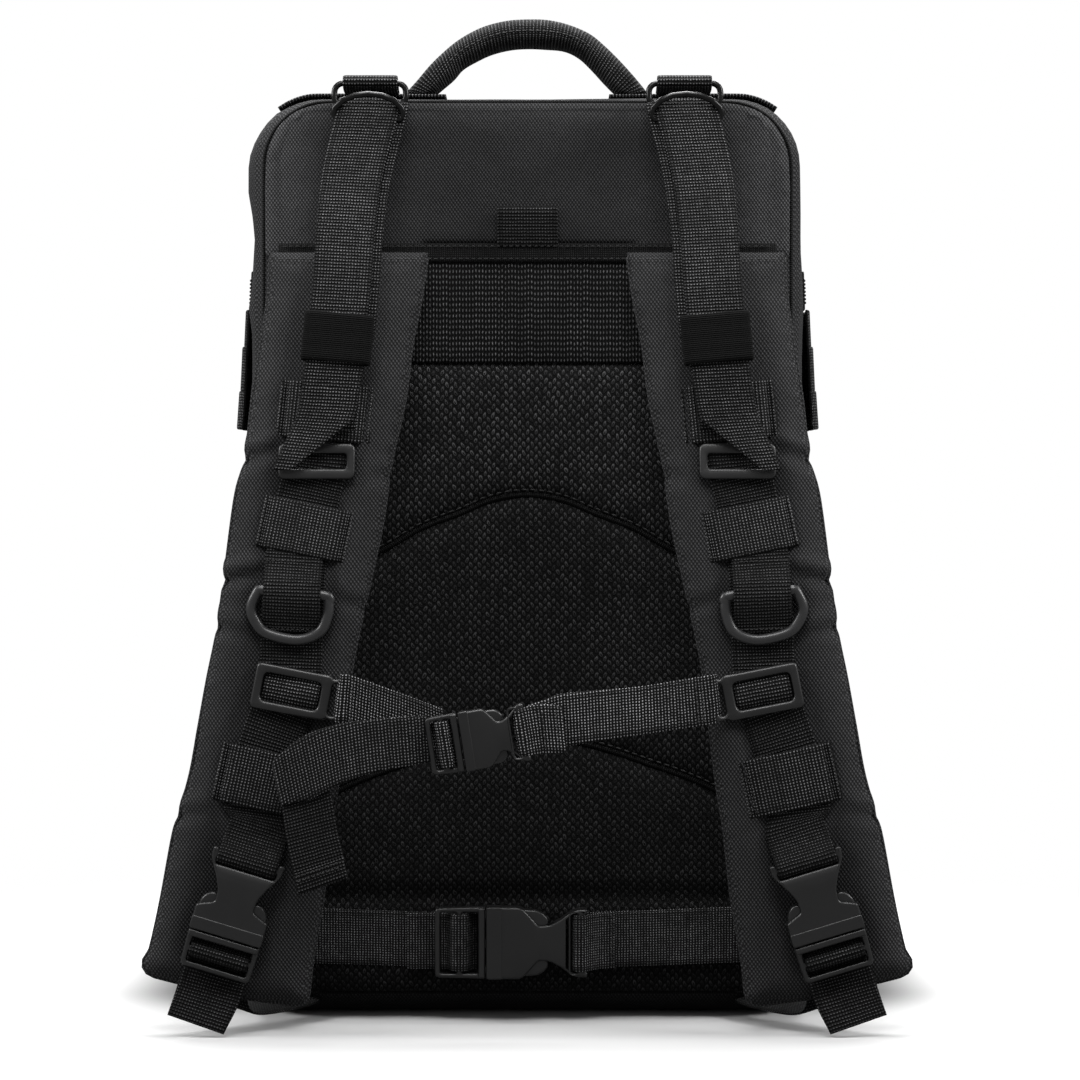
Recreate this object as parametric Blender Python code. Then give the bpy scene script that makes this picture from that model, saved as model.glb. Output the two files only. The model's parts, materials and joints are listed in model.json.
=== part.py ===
"""Trauma backpack, harness side facing -Y, base centred on the origin, +Z up. Blender units are metres; the tables below are in millimetres."""
import math

import bpy
from mathutils import Vector
from mathutils.geometry import delaunay_2d_cdt

for _o in list(bpy.data.objects):
    bpy.data.objects.remove(_o, do_unlink=True)

MM = 0.001

# ---- overall body -------------------------------------------------------------------------------------------------
BODY_HALF_W = 154.5       # half width of the packbag
BODY_TOP = 517.0
BACK_Y = -100.0           # outer face of the back panel
SPLIT_Y = 40.2            # plane where the main zip parts the two halves
FRONT_Y = 80.0            # outer face of the front panel
ZIP_END_Z = 110.2         # the main zip stops here; below it front and back are one
WALL = 3.0
CORNER_R = 38.0
GAP = 0.3                 # clearance between neighbouring pieces

# ---- harness --------------------------------------------------------------------------------------------------------
# front face of the shoulder pads: (height, y); everything sewn on the pads follows this line
PAD_LINE = [(0, -153.0), (115, -160.0), (165, -160.5), (250, -155.0), (300, -147.5), (350, -137.5), (400, -125.0), (440, -113.2)]
PAD_THICK = 10.0
WEB_T = 1.6               # webbing thickness
STRAP_W = 35.5            # shoulder webbing width
PAD_OUTLINE = [(-142.9, 428.9), (-143.5, 405.8), (-147.3, 374.6), (-151.1, 346.9), (-154.4, 314.4), (-159.5, 293.7), (-164.5, 252.9),
               (-168.5, 221.5), (-173.8, 194.5), (-178.5, 168.0), (-182.8, 144.2), (-187.8, 125.9), (-192.5, 110.2), (-199.1, 75.9),
               (-204.7, 50.8), (-208.6, 37.5), (-193.0, 28.5), (-153.0, 19.0), (-120.3, 14.9), (-116.9, 42.0), (-111.3, 74.8),
               (-106.9, 112.9), (-102.6, 139.9), (-96.2, 193.9), (-92.5, 215.6), (-87.7, 237.2), (-83.0, 258.9), (-78.7, 280.6),
               (-74.1, 313.3), (-67.2, 346.3), (-63.6, 376.8), (-58.9, 401.9), (-55.2, 428.9)]
STRAP_LINE = [(-110.5, 350.0), (-114.4, 324.3), (-115.9, 307.9), (-119.5, 292.0), (-125.7, 258.9), (-127.6, 226.5), (-128.1, 204.9),
              (-129.8, 186.0), (-138.2, 161.8), (-145.7, 134.8), (-149.6, 107.8), (-151.5, 94.0)]
# keeper: centre x, centre z, width, height, tilt in degrees
KEEPERS = {"upper": (-110.4, 339.8, 51.5, 31.5, -5.2), "mid": (-121.0, 275.7, 49.0, 28.0, -11.5), "lower": (-142.5, 139.7, 51.5, 32.0, -12.5)}
DRING_PATH = [(-145.5, 242.9), (-149.4, 234.0), (-147.6, 226.5), (-141.0, 219.5), (-124.4, 215.9), (-112.6, 219.8), (-108.2, 228.3),
              (-107.5, 236.0), (-110.0, 239.6)]
DRING_R = 2.3
SIDE_MOUTH = (-163.4, 55.1)
SIDE_DIR = (0.295, 0.9555)
HIP_MOUTH = (-23.1, 45.0)
STERNUM_MOUTH = (-35.3, 161.4)
STERNUM_DIR = (0.988, 0.1547)


def line_y(z):
    pts = PAD_LINE
    if z <= pts[0][0]:
        return pts[0][1]
    for (z0, y0), (z1, y1) in zip(pts, pts[1:]):
        if z <= z1:
            return y0 + (y1 - y0) * (z - z0) / (z1 - z0)
    return pts[-1][1]


CUT_Z = [p[0] for p in PAD_LINE[1:-1]]


# ---- materials --------------------------------------------------------------------------------------------------
def material(name, colour, rough, metallic=0.0):
    m = bpy.data.materials.new(name)
    m.use_nodes = True
    b = m.node_tree.nodes["Principled BSDF"]
    b.inputs["Base Color"].default_value = (*colour, 1.0)
    b.inputs["Roughness"].default_value = rough
    b.inputs["Metallic"].default_value = metallic
    m.diffuse_color = (*colour, 1.0)
    return m


LOOK = {"cloth": ((0.030, 0.030, 0.032), 0.9, 0.0), "web": ((0.028, 0.028, 0.029), 0.8, 0.0), "mesh": ((0.008, 0.008, 0.008), 0.95, 0.0),
        "elastic": ((0.006, 0.006, 0.006), 0.9, 0.0), "plastic": ((0.012, 0.012, 0.013), 0.42, 0.0),
        "wire": ((0.010, 0.010, 0.011), 0.35, 0.6), "sheet": ((0.05, 0.05, 0.05), 0.5, 0.0)}


# ---- solids: a solid is (list of points in mm, list of faces) ---------------------------------------------------
def emit(name, solid, look, origin=(0, 0, 0)):
    pts, faces = solid
    me = bpy.data.meshes.new(name)
    me.from_pydata([((p[0] - origin[0]) * MM, (p[1] - origin[1]) * MM, (p[2] - origin[2]) * MM) for p in pts], [], [tuple(f) for f in faces])
    me.validate()
    o = bpy.data.objects.new(name, me)
    bpy.context.scene.collection.objects.link(o)
    o.location = Vector(origin) * MM
    o.data.materials.append(material(name, *LOOK[look]))
    fix_normals(o)
    return o


def fix_normals(o):
    import bmesh
    bm = bmesh.new()
    bm.from_mesh(o.data)
    bmesh.ops.remove_doubles(bm, verts=bm.verts, dist=2e-6)
    bmesh.ops.recalc_face_normals(bm, faces=bm.faces)
    if bm.calc_volume(signed=True) < 0:
        bmesh.ops.reverse_faces(bm, faces=bm.faces)
    bm.to_mesh(o.data)
    bm.free()


def cut_levels(solid, levels):
    """Split the faces of a solid where they cross the given heights."""
    import bmesh
    bm = bmesh.new()
    vs = [bm.verts.new(p) for p in solid[0]]
    for f in solid[1]:
        bm.faces.new([vs[i] for i in f])
    for z in levels:
        bmesh.ops.bisect_plane(bm, geom=bm.verts[:] + bm.edges[:] + bm.faces[:], dist=1e-5, plane_co=(0, 0, z), plane_no=(0, 0, 1))
    bmesh.ops.triangulate(bm, faces=bm.faces[:])
    bm.verts.index_update()
    out = ([tuple(v.co) for v in bm.verts], [[v.index for v in f.verts] for f in bm.faces])
    bm.free()
    return out


def area2(poly):
    return sum(a[0] * b[1] - b[0] * a[1] for a, b in zip(poly, poly[1:] + poly[:1]))


def inside(x, y, poly):
    hit = False
    for (x0, y0), (x1, y1) in zip(poly, poly[1:] + poly[:1]):
        if (y0 > y) != (y1 > y) and x < (x1 - x0) * (y - y0) / (y1 - y0) + x0:
            hit = not hit
    return hit


def fill(outer, holes=()):
    loops = [outer if area2(outer) > 0 else outer[::-1]] + [h if area2(h) < 0 else h[::-1] for h in holes]
    pts, edges = [], []
    for lp in loops:
        base = len(pts)
        pts += [Vector((p[0], p[1])) for p in lp]
        edges += [(base + i, base + (i + 1) % len(lp)) for i in range(len(lp))]
    v, e, f, *_ = delaunay_2d_cdt(pts, edges, [], 1, 1e-4)
    keep = []
    for t in f:
        cx, cy = sum(v[i][0] for i in t) / 3, sum(v[i][1] for i in t) / 3
        if inside(cx, cy, loops[0]) and not any(inside(cx, cy, h) for h in loops[1:]):
            keep.append(tuple(t))
    return [tuple(p) for p in v], keep, loops


def prism(outer, a0, a1, holes=(), place=None):
    """A polygon with holes given as (a, b), extruded from a0 to a1; place(a, b, c) gives the point, by default x, z and -y outwards."""
    place = place or (lambda a, b, c: (a, c, b))
    v, f, loops = fill(list(outer), [list(h) for h in holes])
    n = len(v)
    pts = [place(p[0], p[1], a0) for p in v] + [place(p[0], p[1], a1) for p in v]
    faces = [list(t) for t in f] + [[i + n for i in t[::-1]] for t in f]
    look = {(round(p[0], 3), round(p[1], 3)): i for i, p in enumerate(v)}
    for lp in loops:
        ids = [look[(round(p[0], 3), round(p[1], 3))] for p in lp]
        for i, j in zip(ids, ids[1:] + ids[:1]):
            faces.append([i, j, j + n, i + n])
    return pts, faces


def on_pad(solid, extra=None):
    """Lay a flat solid, y = 0 at the pad's front face, on the pad line."""
    pts, faces = cut_levels(solid, CUT_Z)
    return [(p[0], p[1] + line_y(p[2]) + (extra(p[0], p[2]) if extra else 0.0), p[2]) for p in pts], faces


def plate_on_pad(outer, lift, thick, holes=(), extra=None):
    """A sheet lying `lift` in front of the pad's face, `thick` thick."""
    return on_pad(prism(outer, -lift - thick, -lift, holes), extra)


def mirror(solid):
    return [(-p[0], p[1], p[2]) for p in solid[0]], [f[::-1] for f in solid[1]]


def both(stem, solid, look, origin=(0, 0, 0)):
    return (emit(stem + "_left", solid, look, origin),
            emit(stem + "_right", mirror(solid), look, (-origin[0], origin[1], origin[2])))


def boolean(a, b, op):
    """Combine two solids exactly and give the result as a solid."""
    objs = []
    for k, s in (("a", a), ("b", b)):
        me = bpy.data.meshes.new("tmp_" + k)
        me.from_pydata([tuple(p) for p in s[0]], [], [tuple(f) for f in s[1]])
        o = bpy.data.objects.new("tmp_" + k, me)
        bpy.context.scene.collection.objects.link(o)
        import bmesh
        bm = bmesh.new()
        bm.from_mesh(me)
        bmesh.ops.remove_doubles(bm, verts=bm.verts, dist=1e-4)
        if not s_is_hollow(s):
            bmesh.ops.recalc_face_normals(bm, faces=bm.faces)
            if bm.calc_volume(signed=True) < 0:
                bmesh.ops.reverse_faces(bm, faces=bm.faces)
        bmesh.ops.triangulate(bm, faces=bm.faces[:])
        bm.to_mesh(me)
        bm.free()
        objs.append(o)
    m = objs[0].modifiers.new("b", "BOOLEAN")
    m.operation, m.solver, m.object = op, "EXACT", objs[1]
    bpy.context.view_layer.update()
    dg = bpy.context.evaluated_depsgraph_get()
    me = bpy.data.meshes.new_from_object(objs[0].evaluated_get(dg))
    out = ([tuple(v.co) for v in me.vertices], [list(p.vertices) for p in me.polygons])
    for o in objs:
        bpy.data.objects.remove(o, do_unlink=True)
    bpy.data.meshes.remove(me)
    return out


HOLLOW = []


def s_is_hollow(s):
    return any(s is h for h in HOLLOW)


def box(x0, x1, y0, y1, z0, z1):
    p = [(x, y, z) for x in (x0, x1) for y in (y0, y1) for z in (z0, z1)]
    return p, [[0, 1, 3, 2], [4, 6, 7, 5], [0, 4, 5, 1], [2, 3, 7, 6], [0, 2, 6, 4], [1, 5, 7, 3]]


def strip(line, width):
    """The outline of a strip of the given width along a centre line."""
    left, right = [], []
    for i, p in enumerate(line):
        a = line[max(0, i - 1)]
        b = line[min(len(line) - 1, i + 1)]
        dx, dz = b[0] - a[0], b[1] - a[1]
        n = math.hypot(dx, dz)
        nx, nz = -dz / n * width / 2, dx / n * width / 2
        left.append((p[0] + nx, p[1] + nz))
        right.append((p[0] - nx, p[1] - nz))
    return left + right[::-1]


def wire(path, r, sides=6, closed=True):
    """A round wire along 3-D points."""
    n = len(path)
    pts, faces = [], []
    for i in range(n):
        p = Vector(path[i])
        a = Vector(path[i - 1] if (i or closed) else path[i])
        b = Vector(path[(i + 1) % n] if (i < n - 1 or closed) else path[i])
        d1, d2 = (p - a), (b - p)
        d = (d1.normalized() if d1.length else d2.normalized()) + (d2.normalized() if d2.length else d1.normalized())
        d.normalize()
        y = Vector((0, 1, 0))
        side = d.cross(y).normalized()
        up = side.cross(d).normalized()
        cosb = max(0.55, (d1.normalized().dot(d) if d1.length else 1.0))
        for k in range(sides):
            t = 2 * math.pi * (k + 0.5) / sides
            pts.append(tuple(p + side * (r / cosb * math.cos(t)) + up * (r * math.sin(t))))
    for i in range(n if closed else n - 1):
        for k in range(sides):
            a, b = i * sides + k, i * sides + (k + 1) % sides
            c, d = ((i + 1) % n) * sides + (k + 1) % sides, ((i + 1) % n) * sides + k
            faces.append([a, b, c, d])
    if not closed:
        faces += [list(range(sides))[::-1], [(n - 1) * sides + k for k in range(sides)]]
    return pts, faces


def ribbon(stations, thick):
    """A flat strap through pairs of edge points, with its thickness about the middle surface."""
    n = len(stations)
    pts = []
    for i in range(n):
        L, R = Vector(stations[i][0]), Vector(stations[i][1])
        a = stations[max(0, i - 1)]
        b = stations[min(n - 1, i + 1)]
        along = (Vector(b[0]) + Vector(b[1]) - Vector(a[0]) - Vector(a[1])).normalized()
        nrm = along.cross(R - L).normalized() * thick / 2
        pts += [tuple(L + nrm), tuple(R + nrm), tuple(R - nrm), tuple(L - nrm)]
    faces = [[0, 1, 2, 3], [4 * n - 1, 4 * n - 2, 4 * n - 3, 4 * n - 4]]
    for i in range(n - 1):
        for k in range(4):
            a, b = 4 * i + k, 4 * i + (k + 1) % 4
            faces.append([a, a + 4, b + 4, b])
    return cut_levels((pts, faces), [])


# ---- packbag ------------------------------------------------------------------------------------------------------
def rounded(hw, z0, z1, r_top, r_low, n=5):
    pts = []
    for cx, cz, r, a0 in ((hw - r_top, z1 - r_top, r_top, 0), (-hw + r_top, z1 - r_top, r_top, 90),
                          (-hw + r_low, z0 + r_low, r_low, 180), (hw - r_low, z0 + r_low, r_low, 270)):
        for k in range(n + 1):
            t = math.radians(a0 + 90 * k / n)
            pts.append((cx + r * math.cos(t), cz + r * math.sin(t)))
    return pts


def loft(sections):
    n = len(sections[0][1])
    pts = [(p[0], y, p[1]) for y, sec in sections for p in sec]
    faces = [list(range(n)), [(len(sections) - 1) * n + k for k in range(n)][::-1]]
    for i in range(len(sections) - 1):
        for k in range(n):
            a, b = i * n + k, i * n + (k + 1) % n
            faces.append([a, a + n, b + n, b])
    return pts, faces


W, T = BODY_HALF_W, BODY_TOP
OUTER = loft([(BACK_Y, rounded(W - 10, 6, T - 4.5, 34, 26)), (BACK_Y + 3, rounded(W - 5, 1.8, T - 2, 36, 24)),
              (BACK_Y + 12, rounded(W, 0, T, CORNER_R, 20)), (FRONT_Y - 9, rounded(W, 0, T, CORNER_R, 20)),
              (FRONT_Y - 2.4, rounded(W - 4, 1.8, T - 3, 36, 22)), (FRONT_Y, rounded(W - 10, 6, T - 9, 32, 24))])
INNER = loft([(BACK_Y + WALL, rounded(W - 10, 8, T - 8, 32, 24)), (BACK_Y + 12, rounded(W - WALL, WALL, T - WALL, CORNER_R - 3, 18)),
              (FRONT_Y - 9, rounded(W - WALL, WALL, T - WALL, CORNER_R - 3, 18)), (FRONT_Y - WALL, rounded(W - 10, 8, T - 11, 31, 23))])
LOWER_FRONT = box(-200, 200, SPLIT_Y, 200, ZIP_END_Z, 700)
BACK_HALF = boolean(boolean(OUTER, LOWER_FRONT, "DIFFERENCE"), INNER, "DIFFERENCE")
emit("main_shell", BACK_HALF, "cloth")
FLAP = boolean(boolean(OUTER, box(-200, 200, SPLIT_Y + GAP, 200, ZIP_END_Z + GAP, 700), "INTERSECT"), INNER, "DIFFERENCE")
FLAP_AXIS = (0.0, FRONT_Y + 0.5, ZIP_END_Z + 0.2)
emit("main_flap", FLAP, "cloth", FLAP_AXIS)

emit("frame_sheet", prism(rounded(128, 22, 486, 30, 16, 3), BACK_Y + WALL + GAP, BACK_Y + WALL + GAP + 1.5), "sheet")

# back panel: top panel, wide webbing band, three padded mesh fields
emit("yoke_panel", prism([(-139, 434), (139, 434), (140, 482), (132, 499), (116, 507.5), (-116, 507.5), (-132, 499), (-140, 482)],
                         BACK_Y - GAP - 1.5, BACK_Y - GAP), "cloth")
emit("back_band", prism([(-139, 368.5), (139, 368.5), (139, 433.7), (-139, 433.7)], BACK_Y - GAP - WEB_T, BACK_Y - GAP), "web")
ARC1 = [(-138, 232), (-112, 248), (-80, 264), (-60, 275.5), (-38, 284), (-20, 291.5), (0, 294.5), (20, 291.5), (38, 284), (60, 275.5),
        (80, 264), (112, 248), (138, 232)]
ARC2 = [(-138, 112), (-97, 133), (-67, 144), (-45, 151.5), (-22, 157), (0, 159), (22, 157), (45, 151.5), (67, 144), (97, 133), (138, 112)]


def field(top, low, name):
    out = prism(low + top[::-1], BACK_Y - GAP - 6.0, BACK_Y - GAP)
    cx = 0.0
    cz = (max(p[1] for p in top) + min(p[1] for p in low)) / 2
    pts = [((cx + (p[0] - cx) * 0.985, p[1], cz + (p[2] - cz) * 0.985) if p[1] < BACK_Y - 3 else p) for p in out[0]]
    emit(name, (pts, out[1]), "mesh")


field([(-138, 368.2), (138, 368.2)], ARC1, "back_pad_upper")
field([(x, z - 0.6) for x, z in ARC1], ARC2, "back_pad_middle")
field([(x, z - 0.6) for x, z in ARC2], [(-132, 30), (-120, 19), (120, 19), (132, 30)], "back_pad_lower")

yz = lambda x0, x1: (lambda a, b, c: (c, a, b))
HL = BACK_Y - GAP - 1.5 - GAP
emit("hang_loop", prism([(HL, 436), (HL, 453), (HL - 1.5, 454.5), (HL - 4.0, 454.5), (HL - 5.2, 453), (HL - 5.2, 437.5), (HL - 4.0, 436)],
                        -16.8, 16.8, [[(HL - 1.6, 440), (HL - 1.6, 452), (HL - 3.6, 452), (HL - 3.6, 440)]], yz(0, 0)), "web")


def side_rows():
    pts = [(W + GAP, 330)]
    for k, (lo, hi, out) in enumerate(((331.0, 353.0, 10.2), (355.5, 381.0, 8.6), (383.5, 398.0, 6.2), (400.5, 436.0, 4.6))):
        pts += [(W + 2.2, lo - 1), (W + out, lo + 1), (W + out - 0.6, hi - 1), (W + 2.2, hi)]
    pts += [(W + 2.0, 438), (W + GAP, 438)]
    return prism(pts, -70, 20)


SR = side_rows()
emit("side_webbing_right", SR, "web")
emit("side_webbing_left", mirror(SR), "web")

# ---- top: ring anchors, rings, carry handle ---------------------------------------------------------------------
def top_strip():
    """The webbing sewn flat over the top edge, with a loop round the ring's upper bar."""
    outer, inner = [(-71.5, T + GAP), (-116.5, T + GAP)], [(-71.5, T + GAP + WEB_T), (-116.5, T + GAP + WEB_T)]
    for k in range(1, 5):
        t = math.radians(90 + 9.0 * k)
        outer.append((-W + CORNER_R + (CORNER_R + GAP) * math.cos(t), T - CORNER_R + (CORNER_R + GAP) * math.sin(t)))
        inner.append((-W + CORNER_R + (CORNER_R + GAP + WEB_T) * math.cos(t), T - CORNER_R + (CORNER_R + GAP + WEB_T) * math.sin(t)))
    flat = prism(outer + inner[::-1], -86.5, -54.0)
    by, bz = -107.0, 523.4
    ring = [(by + 3.7 * math.cos(t), bz + 3.7 * math.sin(t)) for t in [math.radians(a) for a in (-75, -105, -135, -165, 165, 135, 105, 75)]]
    hole = [(by + 2.0 * math.cos(math.radians(a)), bz + 2.0 * math.sin(math.radians(a))) for a in range(0, 360, 45)]
    loop = prism([(-80.0, T + GAP + 0.3), (-92.0, T + GAP + 0.3)] + ring + [(-92.0, T + GAP + 5.0), (-80.0, T + GAP + 2.6)], -102.8, -72.2, [hole], yz(0, 0))
    return boolean(flat, loop, "UNION")


both("ring_anchor", top_strip(), "web")
BAR_Y, BAR_Z = -107.0, 523.4


def rect_ring(x0, x1, z0, z1, y, c, r, slope=0.0):
    p = [(x0 + c, z1), (x1 - c, z1), (x1, z1 - c), (x1, z0 + c), (x1 - c, z0), (x0 + c, z0), (x0, z0 + c), (x0, z1 - c)]
    return wire([(a, y + (b - z1) * slope, b) for a, b in p], r)


both("upper_ring", rect_ring(-107.2, -67.8, 511.2, BAR_Z, BAR_Y, 2.4, 1.25, 0.16), "wire", (-87.5, BAR_Y, BAR_Z))


def low_ring():
    """The cinch ring: a D lying on the strap just under the upper ring, its bar behind the strap."""
    p = [(-106.5, 502.5), (-107.5, 507.0), (-101.0, 513.3), (-88.0, 516.0), (-75.0, 513.3), (-69.0, 507.0), (-70.0, 502.5)]
    pts = [(x, -117.2 - (z - 502.5) * 0.02, z) for x, z in p]
    return wire(pts, 1.25)


both("lower_ring", low_ring(), "wire", (-88.2, -117.2, 502.5))


def arch_band(top, low):
    return top + low[::-1]


HANDLE_TOP = [(-69.0, T + 4.2), (-62.0, 529.0), (-55.0, 537.5), (-47.5, 545.0), (-41.0, 550.5), (-33.0, 555.5), (-24.0, 559.5), (-12.0, 562.5),
              (0.0, 563.3), (12.0, 562.9), (24.0, 560.0), (35.5, 555.0), (44.0, 548.0), (52.0, 540.0), (60.5, 530.5), (68.0, T + 4.2)]
HANDLE_LOW = [(-58.0, T + GAP + 2.2), (-52.0, 521.5), (-47.5, 525.0), (-41.5, 530.0), (-36.5, 535.5), (-29.0, 540.0), (-20.5, 544.0), (-10.0, 546.6),
              (0.0, 547.4), (10.0, 547.0), (20.5, 546.0), (29.0, 542.0), (36.5, 535.0), (43.5, 527.5), (50.5, 521.0), (57.0, T + GAP + 2.2)]


def handle():
    pts, faces = [], []
    n = len(HANDLE_TOP)
    for i in range(n):
        (tx, tz), (lx, lz) = HANDLE_TOP[i], HANDLE_LOW[i]
        k = min(i, n - 1 - i)
        d = (2.0, 4.2, 7.8, 12.4)[k] if k < 4 else 15.0
        ins = (0.4, 0.8, 1.6, 2.6)[k] if k < 4 else 3.4
        f = ins / max(1.0, math.hypot(tx - lx, tz - lz))
        mx, mz = (lx - tx) * f, (lz - tz) * f
        y0 = -72.0
        pts += [(tx, y0 - d * 0.62, tz), (tx + mx, y0 - d, tz + mz), (lx - mx, y0 - d, lz - mz), (lx, y0 - d * 0.62, lz),
                (lx, y0 + d * 0.62, lz), (lx - mx, y0 + d, lz - mz), (tx + mx, y0 + d, tz + mz), (tx, y0 + d * 0.62, tz)]
    for i in range(n - 1):
        for k in range(8):
            a, b = 8 * i + k, 8 * i + (k + 1) % 8
            faces.append([a, b, b + 8, a + 8])
    faces += [list(range(8))[::-1], [8 * (n - 1) + k for k in range(8)]]
    return pts, faces


emit("carry_handle", handle(), "web", (0.0, -72.0, T + 2.0))

# ---- shoulder pads and all that is sewn on them ------------------------------------------------------------------
STRAP_AXIS_Y, STRAP_AXIS_Z = -108.5, 429.0
both("shoulder_pad", on_pad(prism(PAD_OUTLINE, 0.0, PAD_THICK)), "cloth", (-99.0, STRAP_AXIS_Y, STRAP_AXIS_Z))


def local(cx, cz, dx, dz):
    """Points given as (a along (dx, dz), b to its left) placed in x, z."""
    n = math.hypot(dx, dz)
    dx, dz = dx / n, dz / n
    return lambda a, b: (cx + a * dx - b * dz, cz + a * dz + b * dx)


# bar of the ring inside its webbing loop
BAR_C = ((DRING_PATH[0][0] + DRING_PATH[-1][0]) / 2, (DRING_PATH[0][1] + DRING_PATH[-1][1]) / 2)
BAR_DIR = (DRING_PATH[-1][0] - DRING_PATH[0][0], DRING_PATH[-1][1] - DRING_PATH[0][1])
DRING_LIFT = 5.0


def strap():
    base = prism(strip(STRAP_LINE, STRAP_W), -GAP - WEB_T, -GAP)
    at = local(BAR_C[0], BAR_C[1], *BAR_DIR)
    o = [(-10.0, 1.4), (10.0, 1.4), (9.6, 2.8), (5.2, 9.0), (-5.2, 9.0), (-9.6, 2.8)]
    h = [(-3.1, 2.2), (3.1, 2.2), (3.1, 7.7), (-3.1, 7.7)]
    place = lambda a, b, c: (at(c, a)[0], -b, at(c, a)[1])
    loop = prism(o, -15.5, 15.5, [h], place)
    return boolean(base, loop, "UNION")


both("strap_webbing", on_pad(strap()), "web", (-99.0, STRAP_AXIS_Y, STRAP_AXIS_Z))


def keeper(cx, cz, w, h, tilt):
    at = local(cx, cz, math.cos(math.radians(tilt)), math.sin(math.radians(tilt)))
    half, leg = w / 2, 20.6
    prof = [(-half, 0.3), (-leg, 0.3), (-leg, 2.2), (leg, 2.2), (leg, 0.3), (half, 0.3), (half, 2.6), (leg + 1.2, 3.8), (-leg - 1.2, 3.8), (-half, 2.6)]
    return on_pad(prism(prof, -h / 2, h / 2, (), lambda a, b, c: (at(a, c)[0], -b, at(a, c)[1])))


for _k, _v in KEEPERS.items():
    both("keeper_" + _k, keeper(*_v), "web", (-99.0, STRAP_AXIS_Y, STRAP_AXIS_Z))

both("triglide", plate_on_pad([(-135.6, 305.5), (-133.0, 303.0), (-97.5, 303.0), (-94.0, 306.0), (-93.8, 319.5), (-97.0, 322.4), (-133.0, 322.4), (-135.6, 320.0)],
                              2.2, 3.0, [[(-131.5, 309.0), (-98.0, 309.0), (-98.0, 316.5), (-131.5, 316.5)]]), "plastic",
     (-99.0, STRAP_AXIS_Y, STRAP_AXIS_Z))

# load-lifter strap: from the ring down to the pad, doubled, its free end hanging over the upper keeper
LIFT = [(-105.4, -70.6, 508.6, -113.4), (-112.4, -79.4, 473.0, -124.5), (-115.6, -83.6, 440.0, -134.0), (-117.2, -85.4, 408.0, -141.2),
        (-119.6, -88.4, 380.0, -145.8), (-121.4, -90.0, 362.0, -147.8), (-124.6, -93.4, 340.0, -149.6)]


def lifter():
    st = [((l, y + 1.3, z + 0.8), (r, y + 1.3, z - 0.8)) for l, r, z, y in LIFT]
    st.append(((-129.6, -153.4, 324.0), (-98.6, -153.4, 319.0)))
    st.append(((-138.6, -156.6, 309.5), (-127.8, -156.6, 307.5)))
    return ribbon(st, 2.6)


both("load_lifter", lifter(), "web")


def elastic():
    """A sleeve of elastic round both layers of the load-lifter strap."""
    o = [(-17.8, -2.6), (-16.4, -3.4), (16.4, -3.4), (17.8, -2.6), (17.8, 2.6), (16.4, 3.4), (-16.4, 3.4), (-17.8, 2.6)]
    i = [(-16.9, -1.95), (16.9, -1.95), (16.9, 1.95), (-16.9, 1.95)]
    a, b = Vector((-103.2, -142.6, 393.0)), Vector((-105.6, -146.1, 366.5))
    d = (b - a).normalized()
    side = Vector((1.0, 0.0, 0.0)) - d * d.x
    side = (side.normalized() + Vector((0, 0, -0.05))).normalized()
    out = d.cross(side).normalized()
    L = (b - a).length
    return prism(o, 0, L, [i], lambda p, q, c: tuple(a + d * c + side * p + out * q))


both("elastic_keeper", elastic(), "elastic", (-99.0, STRAP_AXIS_Y, STRAP_AXIS_Z))


def dring():
    return wire([(x, line_y(z) - DRING_LIFT, z) for x, z in DRING_PATH], DRING_R)


both("d_ring", dring(), "plastic", (BAR_C[0], line_y(BAR_C[1]) - DRING_LIFT, BAR_C[1]))

SL = local(-127.5, 188.1, math.cos(math.radians(-11.1)), math.sin(math.radians(-11.1)))


def slider():
    o = [(-21, -10), (-18.5, -12.5), (19, -12.5), (21, -11.5), (27, -12.0), (29.5, -10), (29.5, 10), (27, 12.0), (21, 11.5), (19, 12.5), (-18.5, 12.5), (-21, 10)]
    w = [(-16, -7.5), (16, -7.5), (16, 7.5), (-16, 7.5)]
    s = [(21.5, -9), (25.8, -9), (25.8, 9), (21.5, 9)]
    return plate_on_pad([SL(*p) for p in o], 2.2, 4.2, [[SL(*p) for p in w], [SL(*p) for p in s]])


SLIDER_O = (-127.5, line_y(188.1) - 4.3, 188.1)
both("sternum_slider", slider(), "plastic", SLIDER_O)


# ---- side-release buckles ---------------------------------------------------------------------------------------
def female(L, hb, he, t, notch, slot):
    """Socket half in its own frame: u from the mouth to the webbing end, v across, w outwards; centred on w = 0."""
    o = [(0, -hb), (0.34 * L, -hb), (0.42 * L, -hb + notch), (0.62 * L, -hb + notch), (0.84 * L, -he), (L, -he),
         (L, he), (0.84 * L, he), (0.62 * L, hb - notch), (0.42 * L, hb - notch), (0.34 * L, hb), (0, hb)]
    body = prism(o, -t / 2, t / 2, [[(L - 6.6, -slot), (L - 3.0, -slot), (L - 3.0, slot), (L - 6.6, slot)]], lambda a, b, c: (a, c, b))
    cav = box(-5, 0.66 * L, -t / 2 + 1.8, t / 2 - 1.8, -hb + 2.2, hb - 2.2)
    return boolean(body, cav, "DIFFERENCE")


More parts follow.
